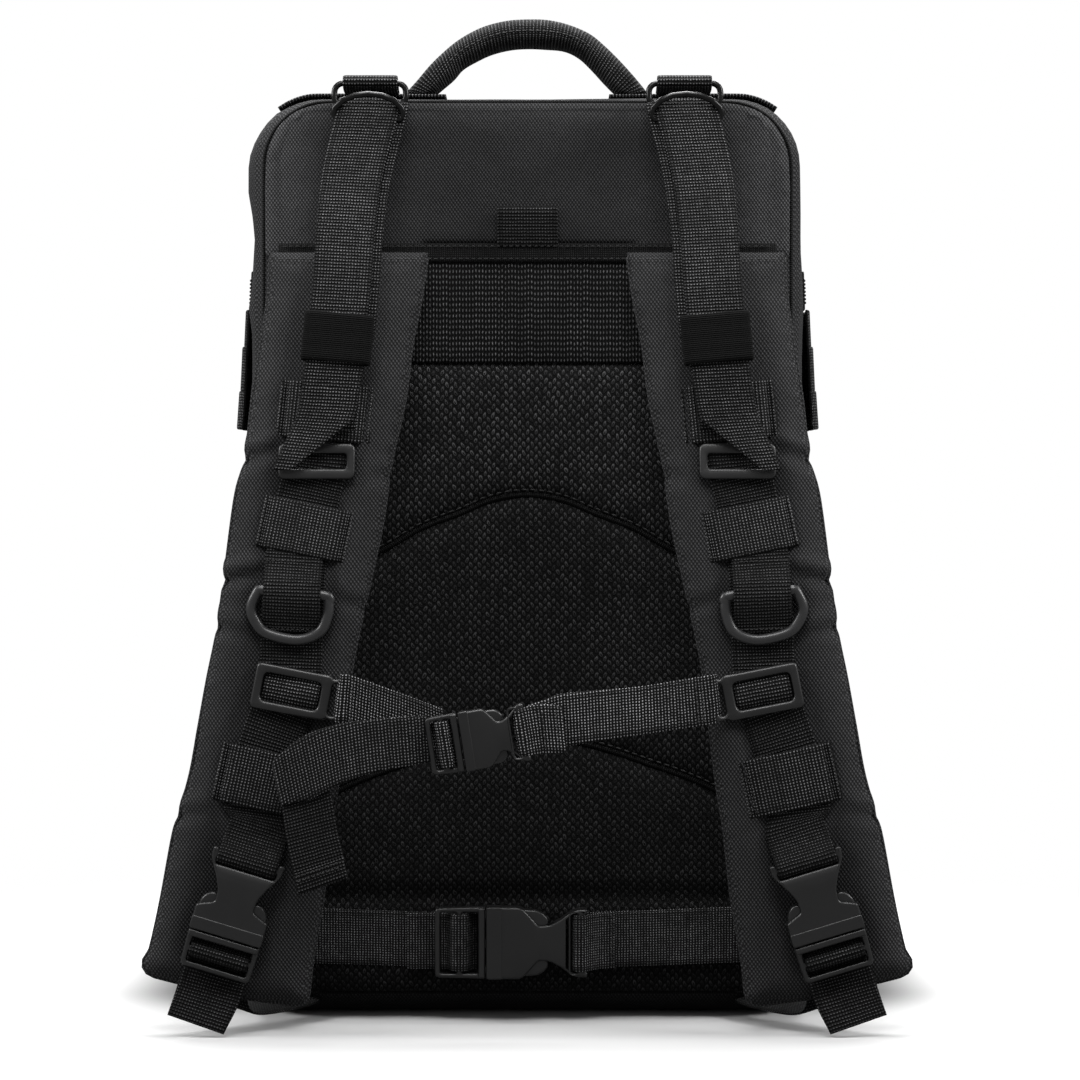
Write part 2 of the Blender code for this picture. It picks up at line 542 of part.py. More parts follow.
def male(L, Lm, hb, t, slot):
    """Plug half: ladder-lock frame behind the mouth, centre tongue and two latch arms in front of it, all one moulding."""
    tf = t * 0.5
    frame = prism([(-Lm, -hb + 1.5), (-Lm + 1.5, -hb), (-0.5, -hb), (-0.5, hb), (-Lm + 1.5, hb), (-Lm, hb - 1.5)], -tf / 2, tf / 2,
                  [[(-Lm + 3.0, -slot), (-Lm * 0.52 - 1.6, -slot), (-Lm * 0.52 - 1.6, slot), (-Lm + 3.0, slot)],
                   [(-Lm * 0.52 + 1.6, -slot), (-3.8, -slot), (-3.8, slot), (-Lm * 0.52 + 1.6, slot)]], lambda a, b, c: (a, c, b))
    tp = t - 3.6 - 0.8
    av = hb - 2.2 - 0.35
    prong = prism([(-2.0, -av), (0.40 * L, -av + 0.8), (0.50 * L, -av), (0.60 * L, -av + 1.8), (0.60 * L, -av + 3.2), (0.40 * L, -av + 3.8), (1.5, -av + 5.0),
                   (1.5, -2.6), (0.5 * L, -2.0), (0.5 * L, 2.0), (1.5, 2.6),
                   (1.5, av - 5.0), (0.40 * L, av - 3.8), (0.60 * L, av - 3.2), (0.60 * L, av - 1.8), (0.50 * L, av), (0.40 * L, av - 0.8), (-2.0, av)],
                  -tp / 2, tp / 2, (), lambda a, b, c: (a, c, b))
    return boolean(frame, prong, "UNION")


def seat(solid, mouth, direction, lift):
    """Lay a buckle half on the harness: mouth in x, z; direction of insertion; lift of its middle in front of the pad line."""
    at = local(mouth[0], mouth[1], *direction)
    pts = []
    for u, w, v in solid[0]:
        x, z = at(u, v)
        pts.append((x, -w - lift, z))
    return pts, solid[1]


SB = dict(L=44.0, hb=20.0, he=19.4, t=11.0)
side_f = on_pad(seat(female(44.0, 20.0, 19.4, 11.0, 8.0, 16.0), SIDE_MOUTH, SIDE_DIR, 7.9))
side_m = on_pad(seat(male(44.0, 21.0, 20.0, 11.0, 16.6), SIDE_MOUTH, SIDE_DIR, 7.9))
both("side_buckle_female", side_f, "plastic", (-99.0, STRAP_AXIS_Y, STRAP_AXIS_Z))
both("side_buckle_male", side_m, "plastic", (SIDE_MOUTH[0], line_y(SIDE_MOUTH[1]) - 7.9, SIDE_MOUTH[1]))

hip_f = seat(female(54.0, 20.0, 18.5, 11.0, 7.5, 16.2), HIP_MOUTH, (1, 0), 0)
hip_m = seat(male(54.0, 28.5, 20.0, 11.0, 16.8), HIP_MOUTH, (1, 0), 0)
HIP_Y = -114.3
emit("hip_buckle_female", ([(p[0], p[1] + HIP_Y, p[2]) for p in hip_f[0]], hip_f[1]), "plastic")
emit("hip_buckle_male", ([(p[0], p[1] + HIP_Y, p[2]) for p in hip_m[0]], hip_m[1]), "plastic", (HIP_MOUTH[0], HIP_Y, HIP_MOUTH[1]))
emit("hip_webbing_left", prism([(-134, 32.4), (-33.0, 29.6), (-33.0, 60.2), (-134, 63.6)], -108.3, -106.7), "web")
emit("hip_webbing_right", prism([(31.6, 29.9), (134, 33.6), (134, 64.8), (31.6, 61.0)], -109.9, -108.3), "web")

STERNUM_O = (STERNUM_MOUTH[0], line_y(161.4) - 10.0, STERNUM_MOUTH[1])
st_f = seat(female(34.3, 16.1, 15.2, 9.0, 5.8, 12.6), STERNUM_MOUTH, STERNUM_DIR, 0)
st_m = seat(male(34.3, 18.2, 16.1, 9.0, 13.0), STERNUM_MOUTH, STERNUM_DIR, 0)
emit("sternum_buckle_female", ([(p[0], p[1] + STERNUM_O[1], p[2]) for p in st_f[0]], st_f[1]), "plastic", STERNUM_O)
emit("sternum_buckle_male", ([(p[0], p[1] + STERNUM_O[1], p[2]) for p in st_m[0]], st_m[1]), "plastic", STERNUM_O)
emit("sternum_webbing_left", plate_on_pad([(-95.4, 197.0), (-45.0, 178.4), (-41.5, 152.0), (-97.4, 170.5)], 2.6, WEB_T), "web", SLIDER_O)
emit("sternum_webbing_right", plate_on_pad([(0.4, 182.0), (20.0, 187.4), (60.0, 190.8), (95.4, 196.6), (98.8, 170.2), (60.0, 164.8), (20.0, 158.6), (3.6, 154.4)],
                                           7.0, 3.4, (), lambda x, z: max(0.0, (x - 40) / 60.0) * 2.6), "web", (-SLIDER_O[0], SLIDER_O[1], SLIDER_O[2]))
emit("sternum_tail", plate_on_pad([(-54.2, 175.6), (-82.2, 174.0), (-102.7, 171.3), (-122.0, 163.8), (-136.6, 151.4), (-131.2, 134.2), (-129.0, 112.2),
                                   (-122.6, 78.8), (-96.8, 88.4), (-100.6, 99.2), (-112.9, 131.0), (-98.4, 140.1), (-76.3, 146.6), (-52.6, 150.6)],
                                  14.8, WEB_T), "web", (STERNUM_MOUTH[0], line_y(161.4) - 10.0, STERNUM_MOUTH[1]))

# lower anchors of the shoulder straps, and the free tails below the side buckles
both("anchor_webbing", ribbon([((-146.0, -101.8, 17.0), (-118.0, -101.8, 8.5)), ((-166.0, -125.0, 20.0), (-134.0, -125.0, 9.0)),
                               ((-190.0, -147.0, 20.5), (-154.0, -147.0, 12.0)), ((-190.5, -158.5, 21.8), (-154.0, -158.5, 13.2)),
                               ((-187.6, -160.6, 32.5), (-152.0, -160.6, 21.8))], 1.4), "web")
TAIL = [(-183.6, 50.0), (-149.6, 39.8), (-153.8, 30.8), (-158.0, 15.0), (-164.6, 1.6), (-195.0, 12.6), (-189.0, 38.6)]
both("side_tail", plate_on_pad(TAIL, 10.8, WEB_T, (), lambda x, z: -max(0.0, 30.0 - z) * 0.32), "web",
     (SIDE_MOUTH[0], line_y(SIDE_MOUTH[1]) - 7.9, SIDE_MOUTH[1]))

# ---- front: pocket on the flap, its door, zip sliders -----------------------------------------------------------
PK_Y = FRONT_Y + GAP
pocket = boolean(loft([(PK_Y, rounded(122, 136, 366, 16, 14, 3)), (PK_Y + 48, rounded(120, 138, 364, 18, 16, 3))]),
                 loft([(PK_Y + 2.5, rounded(119, 139, 363, 14, 12, 3)), (PK_Y + 60, rounded(117, 141, 361, 16, 14, 3))]), "DIFFERENCE")
emit("front_pocket", pocket, "cloth", FLAP_AXIS)
DOOR_Y = PK_Y + 48 + GAP
DOOR_AXIS = (0.0, DOOR_Y + 10.2, 138.0)
emit("pocket_door", loft([(DOOR_Y, rounded(120, 138, 364, 18, 16, 3)), (DOOR_Y + 6, rounded(118, 140, 362, 18, 16, 3)), (DOOR_Y + 10, rounded(110, 148, 354, 16, 14, 3))]),
     "cloth", DOOR_AXIS)


def zip_slider(x, y, z):
    """Slider body with its pull lying along the zip."""
    return boolean(box(x - 6, x + 6, y - 4.2, y + 4.2, z, z + 4.0), box(x - 5, x + 32, y - 2.4, y + 2.4, z + 3.2, z + 5.4), "UNION")


ZS = T + GAP
emit("main_zip_slider_right", zip_slider(9.0, SPLIT_Y, ZS), "wire", (9.0, SPLIT_Y, ZS + 2))
emit("main_zip_slider_left", mirror(zip_slider(9.0, SPLIT_Y, ZS)), "wire", (-9.0, SPLIT_Y, ZS + 2))
emit("pocket_zip_slider", zip_slider(0.0, PK_Y + 48, 364 + GAP + 0.2), "wire", (0.0, PK_Y + 48, 366))
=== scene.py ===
"""Looks for the trauma backpack: woven cloth, webbing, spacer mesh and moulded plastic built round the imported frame. Metres."""
import json
import math

import bmesh
import bpy
import numpy as np
from mathutils import Matrix, Vector, noise
from mathutils.geometry import delaunay_2d_cdt

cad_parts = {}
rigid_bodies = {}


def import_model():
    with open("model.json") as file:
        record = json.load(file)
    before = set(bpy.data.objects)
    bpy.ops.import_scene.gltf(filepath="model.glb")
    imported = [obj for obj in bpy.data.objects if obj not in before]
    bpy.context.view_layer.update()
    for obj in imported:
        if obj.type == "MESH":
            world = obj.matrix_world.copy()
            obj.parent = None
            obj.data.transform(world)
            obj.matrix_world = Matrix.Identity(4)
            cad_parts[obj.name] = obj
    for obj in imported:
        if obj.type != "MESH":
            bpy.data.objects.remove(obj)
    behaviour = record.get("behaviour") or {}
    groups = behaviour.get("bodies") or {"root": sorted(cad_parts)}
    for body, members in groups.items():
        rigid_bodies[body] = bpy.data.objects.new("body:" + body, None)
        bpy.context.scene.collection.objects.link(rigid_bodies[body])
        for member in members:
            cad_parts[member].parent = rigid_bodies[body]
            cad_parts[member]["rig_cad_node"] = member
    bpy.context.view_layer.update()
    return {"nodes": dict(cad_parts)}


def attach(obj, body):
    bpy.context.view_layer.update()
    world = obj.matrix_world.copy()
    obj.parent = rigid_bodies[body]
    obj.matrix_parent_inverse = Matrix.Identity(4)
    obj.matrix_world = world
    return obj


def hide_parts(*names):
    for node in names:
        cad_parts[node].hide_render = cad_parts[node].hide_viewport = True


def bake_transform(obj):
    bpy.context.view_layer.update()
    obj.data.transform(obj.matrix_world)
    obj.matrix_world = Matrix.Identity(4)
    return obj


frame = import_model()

NODES = frame["nodes"]
MM = 0.001

# =====================================================================================================================
# camera, light, floor
# =====================================================================================================================
scene = bpy.context.scene
cam_data = bpy.data.cameras.new("camera")
cam_data.lens, cam_data.sensor_width, cam_data.sensor_fit = 107.1, 36.0, "HORIZONTAL"
cam = bpy.data.objects.new("camera", cam_data)
cam.location = (0.007, -1.9, 0.300)
cam.rotation_euler = (math.radians(90 - 0.99), 0, 0)
scene.collection.objects.link(cam)
scene.camera = cam
scene.view_settings.view_transform = "Standard"
scene.view_settings.look = "None"
scene.view_settings.exposure = 0.0
scene.view_settings.gamma = 1.0

world = bpy.data.worlds.new("studio")
world.use_nodes = True
wt = world.node_tree
wb = wt.nodes["Background"]
wb.inputs["Color"].default_value = (1, 1, 1, 1)
wb.inputs["Strength"].default_value = 0.26
seen = wt.nodes.new("ShaderNodeBackground")
seen.inputs["Color"].default_value = (1, 1, 1, 1)
seen.inputs["Strength"].default_value = 1.0
ray, pick = wt.nodes.new("ShaderNodeLightPath"), wt.nodes.new("ShaderNodeMixShader")
wt.links.new(ray.outputs["Is Camera Ray"], pick.inputs["Fac"])
wt.links.new(wb.outputs[0], pick.inputs[1])
wt.links.new(seen.outputs[0], pick.inputs[2])
wt.links.new(pick.outputs[0], wt.nodes["World Output"].inputs["Surface"])
scene.world = world


def area_light(name, loc, target, size, power, size_y=None):
    d = bpy.data.lights.new(name, "AREA")
    d.shape = "RECTANGLE"
    d.size, d.size_y = size, size_y or size
    d.energy = power
    o = bpy.data.objects.new(name, d)
    o.location = loc
    o.rotation_euler = (Vector(target) - Vector(loc)).to_track_quat("-Z", "Y").to_euler()
    scene.collection.objects.link(o)
    return o


area_light("key_top", (0.0, -1.20, 2.0), (0, 0, 0.46), 1.3, 25, 0.8)
area_light("soft_left", (-1.85, -0.46, 1.50), (0, -0.05, 0.46), 0.8, 31, 0.9)
area_light("soft_right", (1.85, -0.46, 1.50), (0, -0.05, 0.46), 0.8, 31, 0.9)
area_light("back_fill", (0.0, 2.2, 1.5), (0, 0, 0.3), 1.6, 26)
area_light("over_head", (0.0, 0.36, 2.2), (0, 0, 0.0), 0.9, 54)

fl = bpy.data.meshes.new("floor")
fl.from_pydata([(-6, -6, 0), (6, -6, 0), (6, 6, 0), (-6, 6, 0)], [], [(0, 1, 2, 3)])
floor = bpy.data.objects.new("floor", fl)
scene.collection.objects.link(floor)
fm = bpy.data.materials.new("floor_paper")
fm.use_nodes = True
fm.node_tree.nodes["Principled BSDF"].inputs["Base Color"].default_value = (0.93, 0.93, 0.93, 1)
fm.node_tree.nodes["Principled BSDF"].inputs["Roughness"].default_value = 0.85
fm.node_tree.nodes["Principled BSDF"].inputs["Specular IOR Level"].default_value = 0.1
ft = fm.node_tree
fpos = ft.nodes.new("ShaderNodeTexCoord")
flen = ft.nodes.new("ShaderNodeVectorMath")
flen.operation = "LENGTH"
fade = ft.nodes.new("ShaderNodeMapRange")
fade.interpolation_type = "SMOOTHSTEP"
fade.inputs["From Min"].default_value, fade.inputs["From Max"].default_value = 0.30, 0.62
ray_f, tint = ft.nodes.new("ShaderNodeLightPath"), ft.nodes.new("ShaderNodeMix")
tint.data_type = "RGBA"
tint.inputs[6].default_value, tint.inputs[7].default_value = (0.16, 0.16, 0.16, 1), (0.66, 0.66, 0.66, 1)
ft.links.new(ray_f.outputs["Is Camera Ray"], tint.inputs[0])
fsep = ft.nodes.new("ShaderNodeSeparateXYZ")
ft.links.new(fpos.outputs["Object"], fsep.inputs[0])


def fmath(op, a, b=None):
    n = ft.nodes.new("ShaderNodeMath")
    n.operation = op
    for i, v in enumerate((a, b)):
        if v is None:
            continue
        if isinstance(v, bpy.types.NodeSocket):
            ft.links.new(v, n.inputs[i])
        else:
            n.inputs[i].default_value = v
    return n.outputs[0]


# painted shadow: the floor's colour is scaled by a soft pool round the pack's footprint, down to 0.16 within 4 cm of it
# and back to full by 10.8 cm out
gx = fmath("MAXIMUM", fmath("SUBTRACT", fmath("ABSOLUTE", fsep.outputs[0]), 0.155), 0.0)
gy = fmath("MAXIMUM", fmath("SUBTRACT", fmath("ABSOLUTE", fmath("SUBTRACT", fsep.outputs[1], 0.040)), 0.035), 0.0)
away = fmath("SQRT", fmath("ADD", fmath("MULTIPLY", gx, gx), fmath("MULTIPLY", gy, gy)))
lift = ft.nodes.new("ShaderNodeMapRange")
lift.interpolation_type = "SMOOTHSTEP"
for key, val in (("From Min", 0.040), ("From Max", 0.108), ("To Min", 0.16), ("To Max", 1.0)):
    lift.inputs[key].default_value = val
ft.links.new(away, lift.inputs["Value"])
painted_shadow = lift.outputs["Result"]
dim = ft.nodes.new("ShaderNodeVectorMath")
dim.operation = "SCALE"
ft.links.new(tint.outputs[2], dim.inputs[0])
ft.links.new(painted_shadow, dim.inputs["Scale"])
ft.links.new(dim.outputs[0], ft.nodes["Principled BSDF"].inputs["Base Color"])
clear, both_ = ft.nodes.new("ShaderNodeBsdfTransparent"), ft.nodes.new("ShaderNodeMixShader")
ft.links.new(fpos.outputs["Object"], flen.inputs[0])
ft.links.new(flen.outputs["Value"], fade.inputs["Value"])
ft.links.new(fade.outputs["Result"], both_.inputs["Fac"])
ft.links.new(ft.nodes["Principled BSDF"].outputs[0], both_.inputs[1])
ft.links.new(clear.outputs[0], both_.inputs[2])
ft.links.new(both_.outputs[0], ft.nodes["Material Output"].inputs["Surface"])
fl.materials.append(fm)
floor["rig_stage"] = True


# =====================================================================================================================
# materials
# =====================================================================================================================
class Tree:
    """A small helper to write node trees as sums."""

    def __init__(self, name):
        self.m = bpy.data.materials.new(name)
        self.m.use_nodes = True
        self.t = self.m.node_tree
        self.b = self.t.nodes["Principled BSDF"]

    def node(self, kind, **sets):
        n = self.t.nodes.new(kind)
        for k, v in sets.items():
            setattr(n, k, v)
        return n

    def put(self, sock, v):
        if isinstance(v, bpy.types.NodeSocket):
            self.t.links.new(v, sock)
        else:
            sock.default_value = v

    def math(self, op, a, b=None, c=None):
        n = self.node("ShaderNodeMath", operation=op)
        for i, v in enumerate((a, b, c)):
            if v is not None:
                self.put(n.inputs[i], v)
        return n.outputs[0]

    def add(self, a, b):
        return self.math("ADD", a, b)

    def sub(self, a, b):
        return self.math("SUBTRACT", a, b)

    def mul(self, a, b):
        return self.math("MULTIPLY", a, b)

    def sin(self, a):
        return self.math("SINE", a)

    def smooth(self, v, lo, hi, to0=0.0, to1=1.0):
        n = self.node("ShaderNodeMapRange", interpolation_type="SMOOTHSTEP")
        for k, x in (("Value", v), ("From Min", lo), ("From Max", hi), ("To Min", to0), ("To Max", to1)):
            self.put(n.inputs[k], x)
        return n.outputs["Result"]

    def noise(self, vec, scale, detail=2.0, rough=0.5):
        n = self.node("ShaderNodeTexNoise")
        self.put(n.inputs["Vector"], vec)
        n.inputs["Scale"].default_value = scale
        n.inputs["Detail"].default_value = detail
        n.inputs["Roughness"].default_value = rough
        return n.outputs["Fac"]

    def position(self):
        return self.node("ShaderNodeTexCoord").outputs["Object"]

    def xyz(self, vec):
        n = self.node("ShaderNodeSeparateXYZ")
        self.put(n.inputs[0], vec)
        return n.outputs[0], n.outputs[1], n.outputs[2]

    def uv(self):
        n = self.node("ShaderNodeUVMap")
        n.uv_map = "weave"
        return self.xyz(n.outputs[0])[:2]

    def wall_uv(self):
        """Cloth coordinates by the side the surface faces: x, z on the back and front, y, z on the sides, x, y on top."""
        x, y, z = self.xyz(self.position())
        g = self.node("ShaderNodeNewGeometry")
        nx, ny, nz = (self.math("ABSOLUTE", c) for c in self.xyz(g.outputs["Normal"]))
        side = self.math("GREATER_THAN", nx, self.math("MAXIMUM", ny, nz))
        top = self.math("GREATER_THAN", nz, self.math("MAXIMUM", nx, ny))
        u = self.add(self.mul(x, self.sub(1.0, side)), self.mul(y, side))
        v = self.add(self.mul(z, self.sub(1.0, top)), self.mul(y, top))
        return u, v

    def colour(self, base, fac):
        """base times fac, as a grey-scaled colour."""
        n = self.node("ShaderNodeCombineColor")
        for i in range(3):
            self.put(n.inputs[i], self.mul(fac, base[i]))
        self.t.links.new(n.outputs[0], self.b.inputs["Base Color"])

    def bump(self, height, distance, strength=1.0, onto=None):
        n = self.node("ShaderNodeBump")
        n.inputs["Strength"].default_value = strength
        n.inputs["Distance"].default_value = distance
        self.put(n.inputs["Height"], height)
        if onto is not None:
            self.t.links.new(onto, n.inputs["Normal"])
        self.t.links.new(n.outputs[0], self.b.inputs["Normal"])
        return n.outputs[0]

    def set(self, **kw):
        for k, v in kw.items():
            self.b.inputs[k.replace("_", " ")].default_value = v


TAU = 2 * math.pi


def cordura(name, tone=0.034, pitch=2.2, wrinkle=0.5, contrast=1.7, tall=1.37, painted_side_light=0.0, painted_foot_shade=0.0):
    """Coated oxford cloth: a fine basket weave with slightly uneven threads."""
    t = Tree(name)
    u, v = t.wall_uv()
    pos = t.position()
    wob = t.noise(pos, 900.0, 1.0)
    du = t.mul(t.sub(wob, 0.5), 0.00035)
    k = TAU / (pitch * MM)
    kv = k / tall
    a = t.sin(t.mul(t.add(u, du), k))
    b = t.sin(t.mul(t.add(v, du), kv))
    weave = t.mul(a, b)
    fine = t.mul(t.sin(t.add(t.mul(u, k), t.mul(v, kv))), 0.42)
    h = t.add(weave, fine)
    broad = t.noise(pos, 22.0, 3.0)
    grain = t.noise(pos, 1400.0, 0.0)
    lit = t.smooth(h, -0.25, 1.15)
    fac = t.add(t.add(0.42, t.mul(lit, contrast)), t.add(t.mul(t.sub(broad, 0.5), 0.30), t.mul(t.sub(grain, 0.5), 0.45)))
    if painted_side_light:
        # painted light: the cloth is made paler where it rounds onto the sides of the back, standing in for the side
        # light falling there
        fac = t.mul(fac, t.add(1.0, t.mul(t.smooth(t.math("ABSOLUTE", t.xyz(pos)[0]), 0.106, 0.138), painted_side_light)))
    if painted_foot_shade:
        # painted shade: the cloth is darkened towards the floor at the bottom of the back, standing in for the shade
        # under the pack
        low = t.mul(t.sub(1.0, t.smooth(t.xyz(pos)[2], 0.006, 0.024)), t.sub(1.0, t.smooth(t.xyz(pos)[1], -0.040, 0.010)))
        fac = t.mul(fac, t.sub(1.0, t.mul(low, painted_foot_shade)))
    t.colour((tone, tone, tone * 1.03), t.math("MAXIMUM", fac, 0.12))
    t.set(Roughness=0.80, Specular_IOR_Level=0.14, Sheen_Weight=0.02, Sheen_Roughness=0.45)
    fold = t.noise(pos, 55.0, 2.0)
    soft = t.bump(fold, 0.0012 * wrinkle, 0.6)
    t.bump(h, 0.00022, 0.7, onto=soft)
    return t.m


def webbing(name, tone=0.036, rib=2.45, dot=1.5, half=None, depth=0.00034, contrast=4.2):
    """Woven webbing: cross ribs made of small dots, staggered row by row, and a plain selvage at the edges."""
    t = Tree(name)
    u, v = t.uv()
    pos = t.position()
    wob = t.mul(t.sub(t.noise(pos, 420.0, 2.0), 0.5), 0.0007)
    vv = t.add(v, wob)
    row = t.math("FLOOR", t.add(t.mul(vv, 1.0 / (rib * MM)), 0.25))
    odd = t.math("FRACT", t.mul(t.sin(t.mul(row, 12.9898)), 437.585))
    ribs = t.sin(t.mul(vv, TAU / (rib * MM)))
    dots = t.sin(t.add(t.mul(t.add(u, t.mul(wob, 0.7)), TAU / (dot * MM)), t.mul(odd, 1.5)))
    h = t.add(t.mul(ribs, 0.66), t.mul(t.mul(dots, t.add(t.mul(ribs, 0.35), 0.65)), 0.42))
    broad = t.noise(pos, 30.0, 2.0)
    grain = t.noise(pos, 1600.0, 0.0)
    lit = t.smooth(h, 0.32, 1.0)
    patch = t.noise(pos, 240.0, 2.0)
    fac = t.add(t.add(0.05, t.mul(lit, contrast)), t.mul(t.sub(grain, 0.5), 0.25))
    fac = t.mul(fac, t.add(t.add(0.82, t.mul(odd, 0.36)), t.add(t.mul(t.sub(broad, 0.5), 1.1), t.mul(t.sub(patch, 0.5), 1.9))))
    if half:
        au = t.math("ABSOLUTE", u)
        groove = t.mul(t.smooth(au, (half - 3.2) * MM, (half - 2.4) * MM), t.sub(1.0, t.smooth(au, (half - 1.7) * MM, (half - 1.0) * MM)))
        fac = t.mul(fac, t.sub(1.0, t.mul(groove, 0.55)))
    t.colour((tone, tone, tone * 1.02), t.math("MAXIMUM", fac, 0.05))
    t.set(Roughness=0.72, Specular_IOR_Level=0.16, Sheen_Weight=0.02, Sheen_Roughness=0.4)
    t.bump(h, depth, 0.85)
    return t.m


def spacer_mesh(name, tone=0.016, px=4.8, pz=4.6, bright=2.6):
    """Three-layer spacer mesh: a dark knit with rows of raised, leaf-shaped loops, each around a small open eye."""
    t = Tree(name)
    pos = t.position()
    x, y, z = t.xyz(pos)
    wob = t.mul(t.sub(t.noise(pos, 30.0, 2.0), 0.5), 0.0045)
    shake = t.mul(t.sub(t.noise(pos, 330.0, 1.0), 0.5), 0.0011)
    u = t.mul(t.add(t.add(x, wob), shake), 1.0 / (px * MM))
    v = t.mul(t.add(t.add(z, t.mul(wob, 0.8)), shake), 1.0 / (pz * MM))

    def leaf(ou, ov, lean):
        cu, cv = t.add(u, ou), t.add(v, ov)
        fu = t.sub(t.math("FRACT", cu), 0.5)
        fv = t.sub(t.math("FRACT", cv), 0.5)
        fu = t.add(fu, t.mul(fv, lean))
        seed = t.add(t.mul(t.math("FLOOR", cu), 12.9898), t.mul(t.math("FLOOR", cv), 78.233))
        odd = t.math("FRACT", t.mul(t.sin(t.add(seed, ou * 9.0)), 437.585))
        a, b = t.mul(fu, 1.0 / 0.20), t.mul(fv, 1.0 / 0.38)
        r2 = t.add(t.mul(a, a), t.mul(b, b))
        body = t.sub(1.0, t.smooth(r2, 0.45, 1.25))
        a2, b2 = t.mul(fu, 1.0 / 0.085), t.mul(t.add(fv, 0.06), 1.0 / 0.20)
        eye = t.sub(1.0, t.smooth(t.add(t.mul(a2, a2), t.mul(b2, b2)), 0.35, 1.3))
        # painted highlight: each loop is made lighter on its upper side, as if lit from above
        top = t.smooth(fv, -0.35, 0.30, 0.45, 1.15)
        return t.mul(body, t.sub(1.0, t.mul(eye, 0.85))), t.add(0.35, t.mul(odd, 1.1)), top

    l0, o0, painted_top_light0 = leaf(0.0, 0.0, 0.28)
    l1, o1, painted_top_light1 = leaf(0.5, 0.5, -0.20)
    grain = t.noise(pos, 1500.0, 0.0)
    broad = t.noise(pos, 14.0, 2.0)
    shine = t.add(t.mul(t.mul(l0, o0), painted_top_light0), t.mul(t.mul(l1, o1), painted_top_light1))
    fac = t.add(t.add(0.22, t.mul(shine, bright)), t.mul(t.sub(grain, 0.5), 0.5))
    fac = t.mul(fac, t.add(1.0, t.mul(t.sub(broad, 0.5), 0.9)))
    t.colour((tone, tone, tone * 1.02), t.math("MAXIMUM", fac, 0.05))
    t.set(Roughness=0.85, Specular_IOR_Level=0.10, Sheen_Weight=0.02)
    t.bump(t.add(l0, l1), 0.0008, 0.9)
    return t.m


def elastic_cloth(name, tone=0.010):
    t = Tree(name)
    u, v = t.uv()
    pos = t.position()
    lines = t.sin(t.mul(v, TAU / 0.0011))
    grain = t.noise(pos, 1500.0, 0.0)
    fac = t.add(t.add(0.8, t.mul(lines, 0.45)), t.mul(t.sub(grain, 0.5), 0.6))
    t.colour((tone, tone, tone), t.math("MAXIMUM", fac, 0.1))
    t.set(Roughness=0.88, Specular_IOR_Level=0.08, Sheen_Weight=0.01)
    t.bump(lines, 0.00022, 0.8)
    return t.m


def moulded(name, tone=0.014, rough=0.40):
    """Acetal from a spark-eroded mould: satin, faint grain, roughness varying in broad patches."""
    t = Tree(name)
    pos = t.position()
    grain = t.noise(pos, 1800.0, 2.0)
    broad = t.noise(pos, 45.0, 2.0)
    t.colour((tone, tone, tone * 1.03), t.add(0.9, t.mul(t.sub(broad, 0.5), 0.5)))
    t.put(t.b.inputs["Roughness"], t.add(rough, t.mul(t.sub(broad, 0.5), 0.16)))
    t.set(Specular_IOR_Level=0.5, Coat_Weight=0.25, Coat_Roughness=0.22)
    t.bump(grain, 0.00009, 0.35)
    return t.m


def lacquer(name, tone=0.012):
    t = Tree(name)
    pos = t.position()
    broad = t.noise(pos, 160.0, 2.0)
    t.colour((tone, tone, tone), t.add(0.8, t.mul(broad, 0.5)))
    t.put(t.b.inputs["Roughness"], t.add(0.19, t.mul(broad, 0.14)))
    t.set(Specular_IOR_Level=0.26, Coat_Weight=0.08, Coat_Roughness=0.16)
    t.bump(broad, 0.00006, 0.3)
    return t.m


def thread(name, tone=0.045):
    t = Tree(name)
    pos = t.position()
    twist = t.sin(t.mul(t.add(t.xyz(pos)[0], t.xyz(pos)[2]), TAU / 0.0006))
    t.colour((tone, tone, tone), t.add(0.85, t.mul(twist, 0.25)))
    t.set(Roughness=0.6, Specular_IOR_Level=0.4, Sheen_Weight=0.1)
    return t.m


def zip_coil(name, tone=0.020):
    t = Tree(name)
    u, v = t.uv()
    teeth = t.sin(t.mul(v, TAU / 0.0016))
    t.colour((tone, tone, tone), t.add(0.8, t.mul(teeth, 0.45)))
    t.set(Roughness=0.42, Specular_IOR_Level=0.5)
    t.bump(teeth, 0.0006, 0.9)
    return t.m


def lining(name, tone=0.030):
    t = Tree(name)
    u, v = t.wall_uv()
    pos = t.position()
    k = TAU / 0.0022
    rip = t.math("MAXIMUM", t.sin(t.mul(u, k)), t.sin(t.mul(v, k)))
    broad = t.noise(pos, 25.0, 3.0)
    t.colour((tone, tone, tone * 1.03), t.add(t.add(0.75, t.mul(rip, 0.12)), t.mul(t.sub(broad, 0.5), 0.4)))
    t.set(Roughness=0.5, Specular_IOR_Level=0.4)
    t.bump(t.add(t.mul(rip, 0.15), broad), 0.0015, 0.5)
    return t.m


# cloth_body has painted shade darkening the bottom of the back
M_BODY = cordura("cloth_body", 0.036, 2.0, painted_foot_shade=0.72)
M_PAD = cordura("cloth_pad", 0.0275, 2.0, 0.8, 2.2)
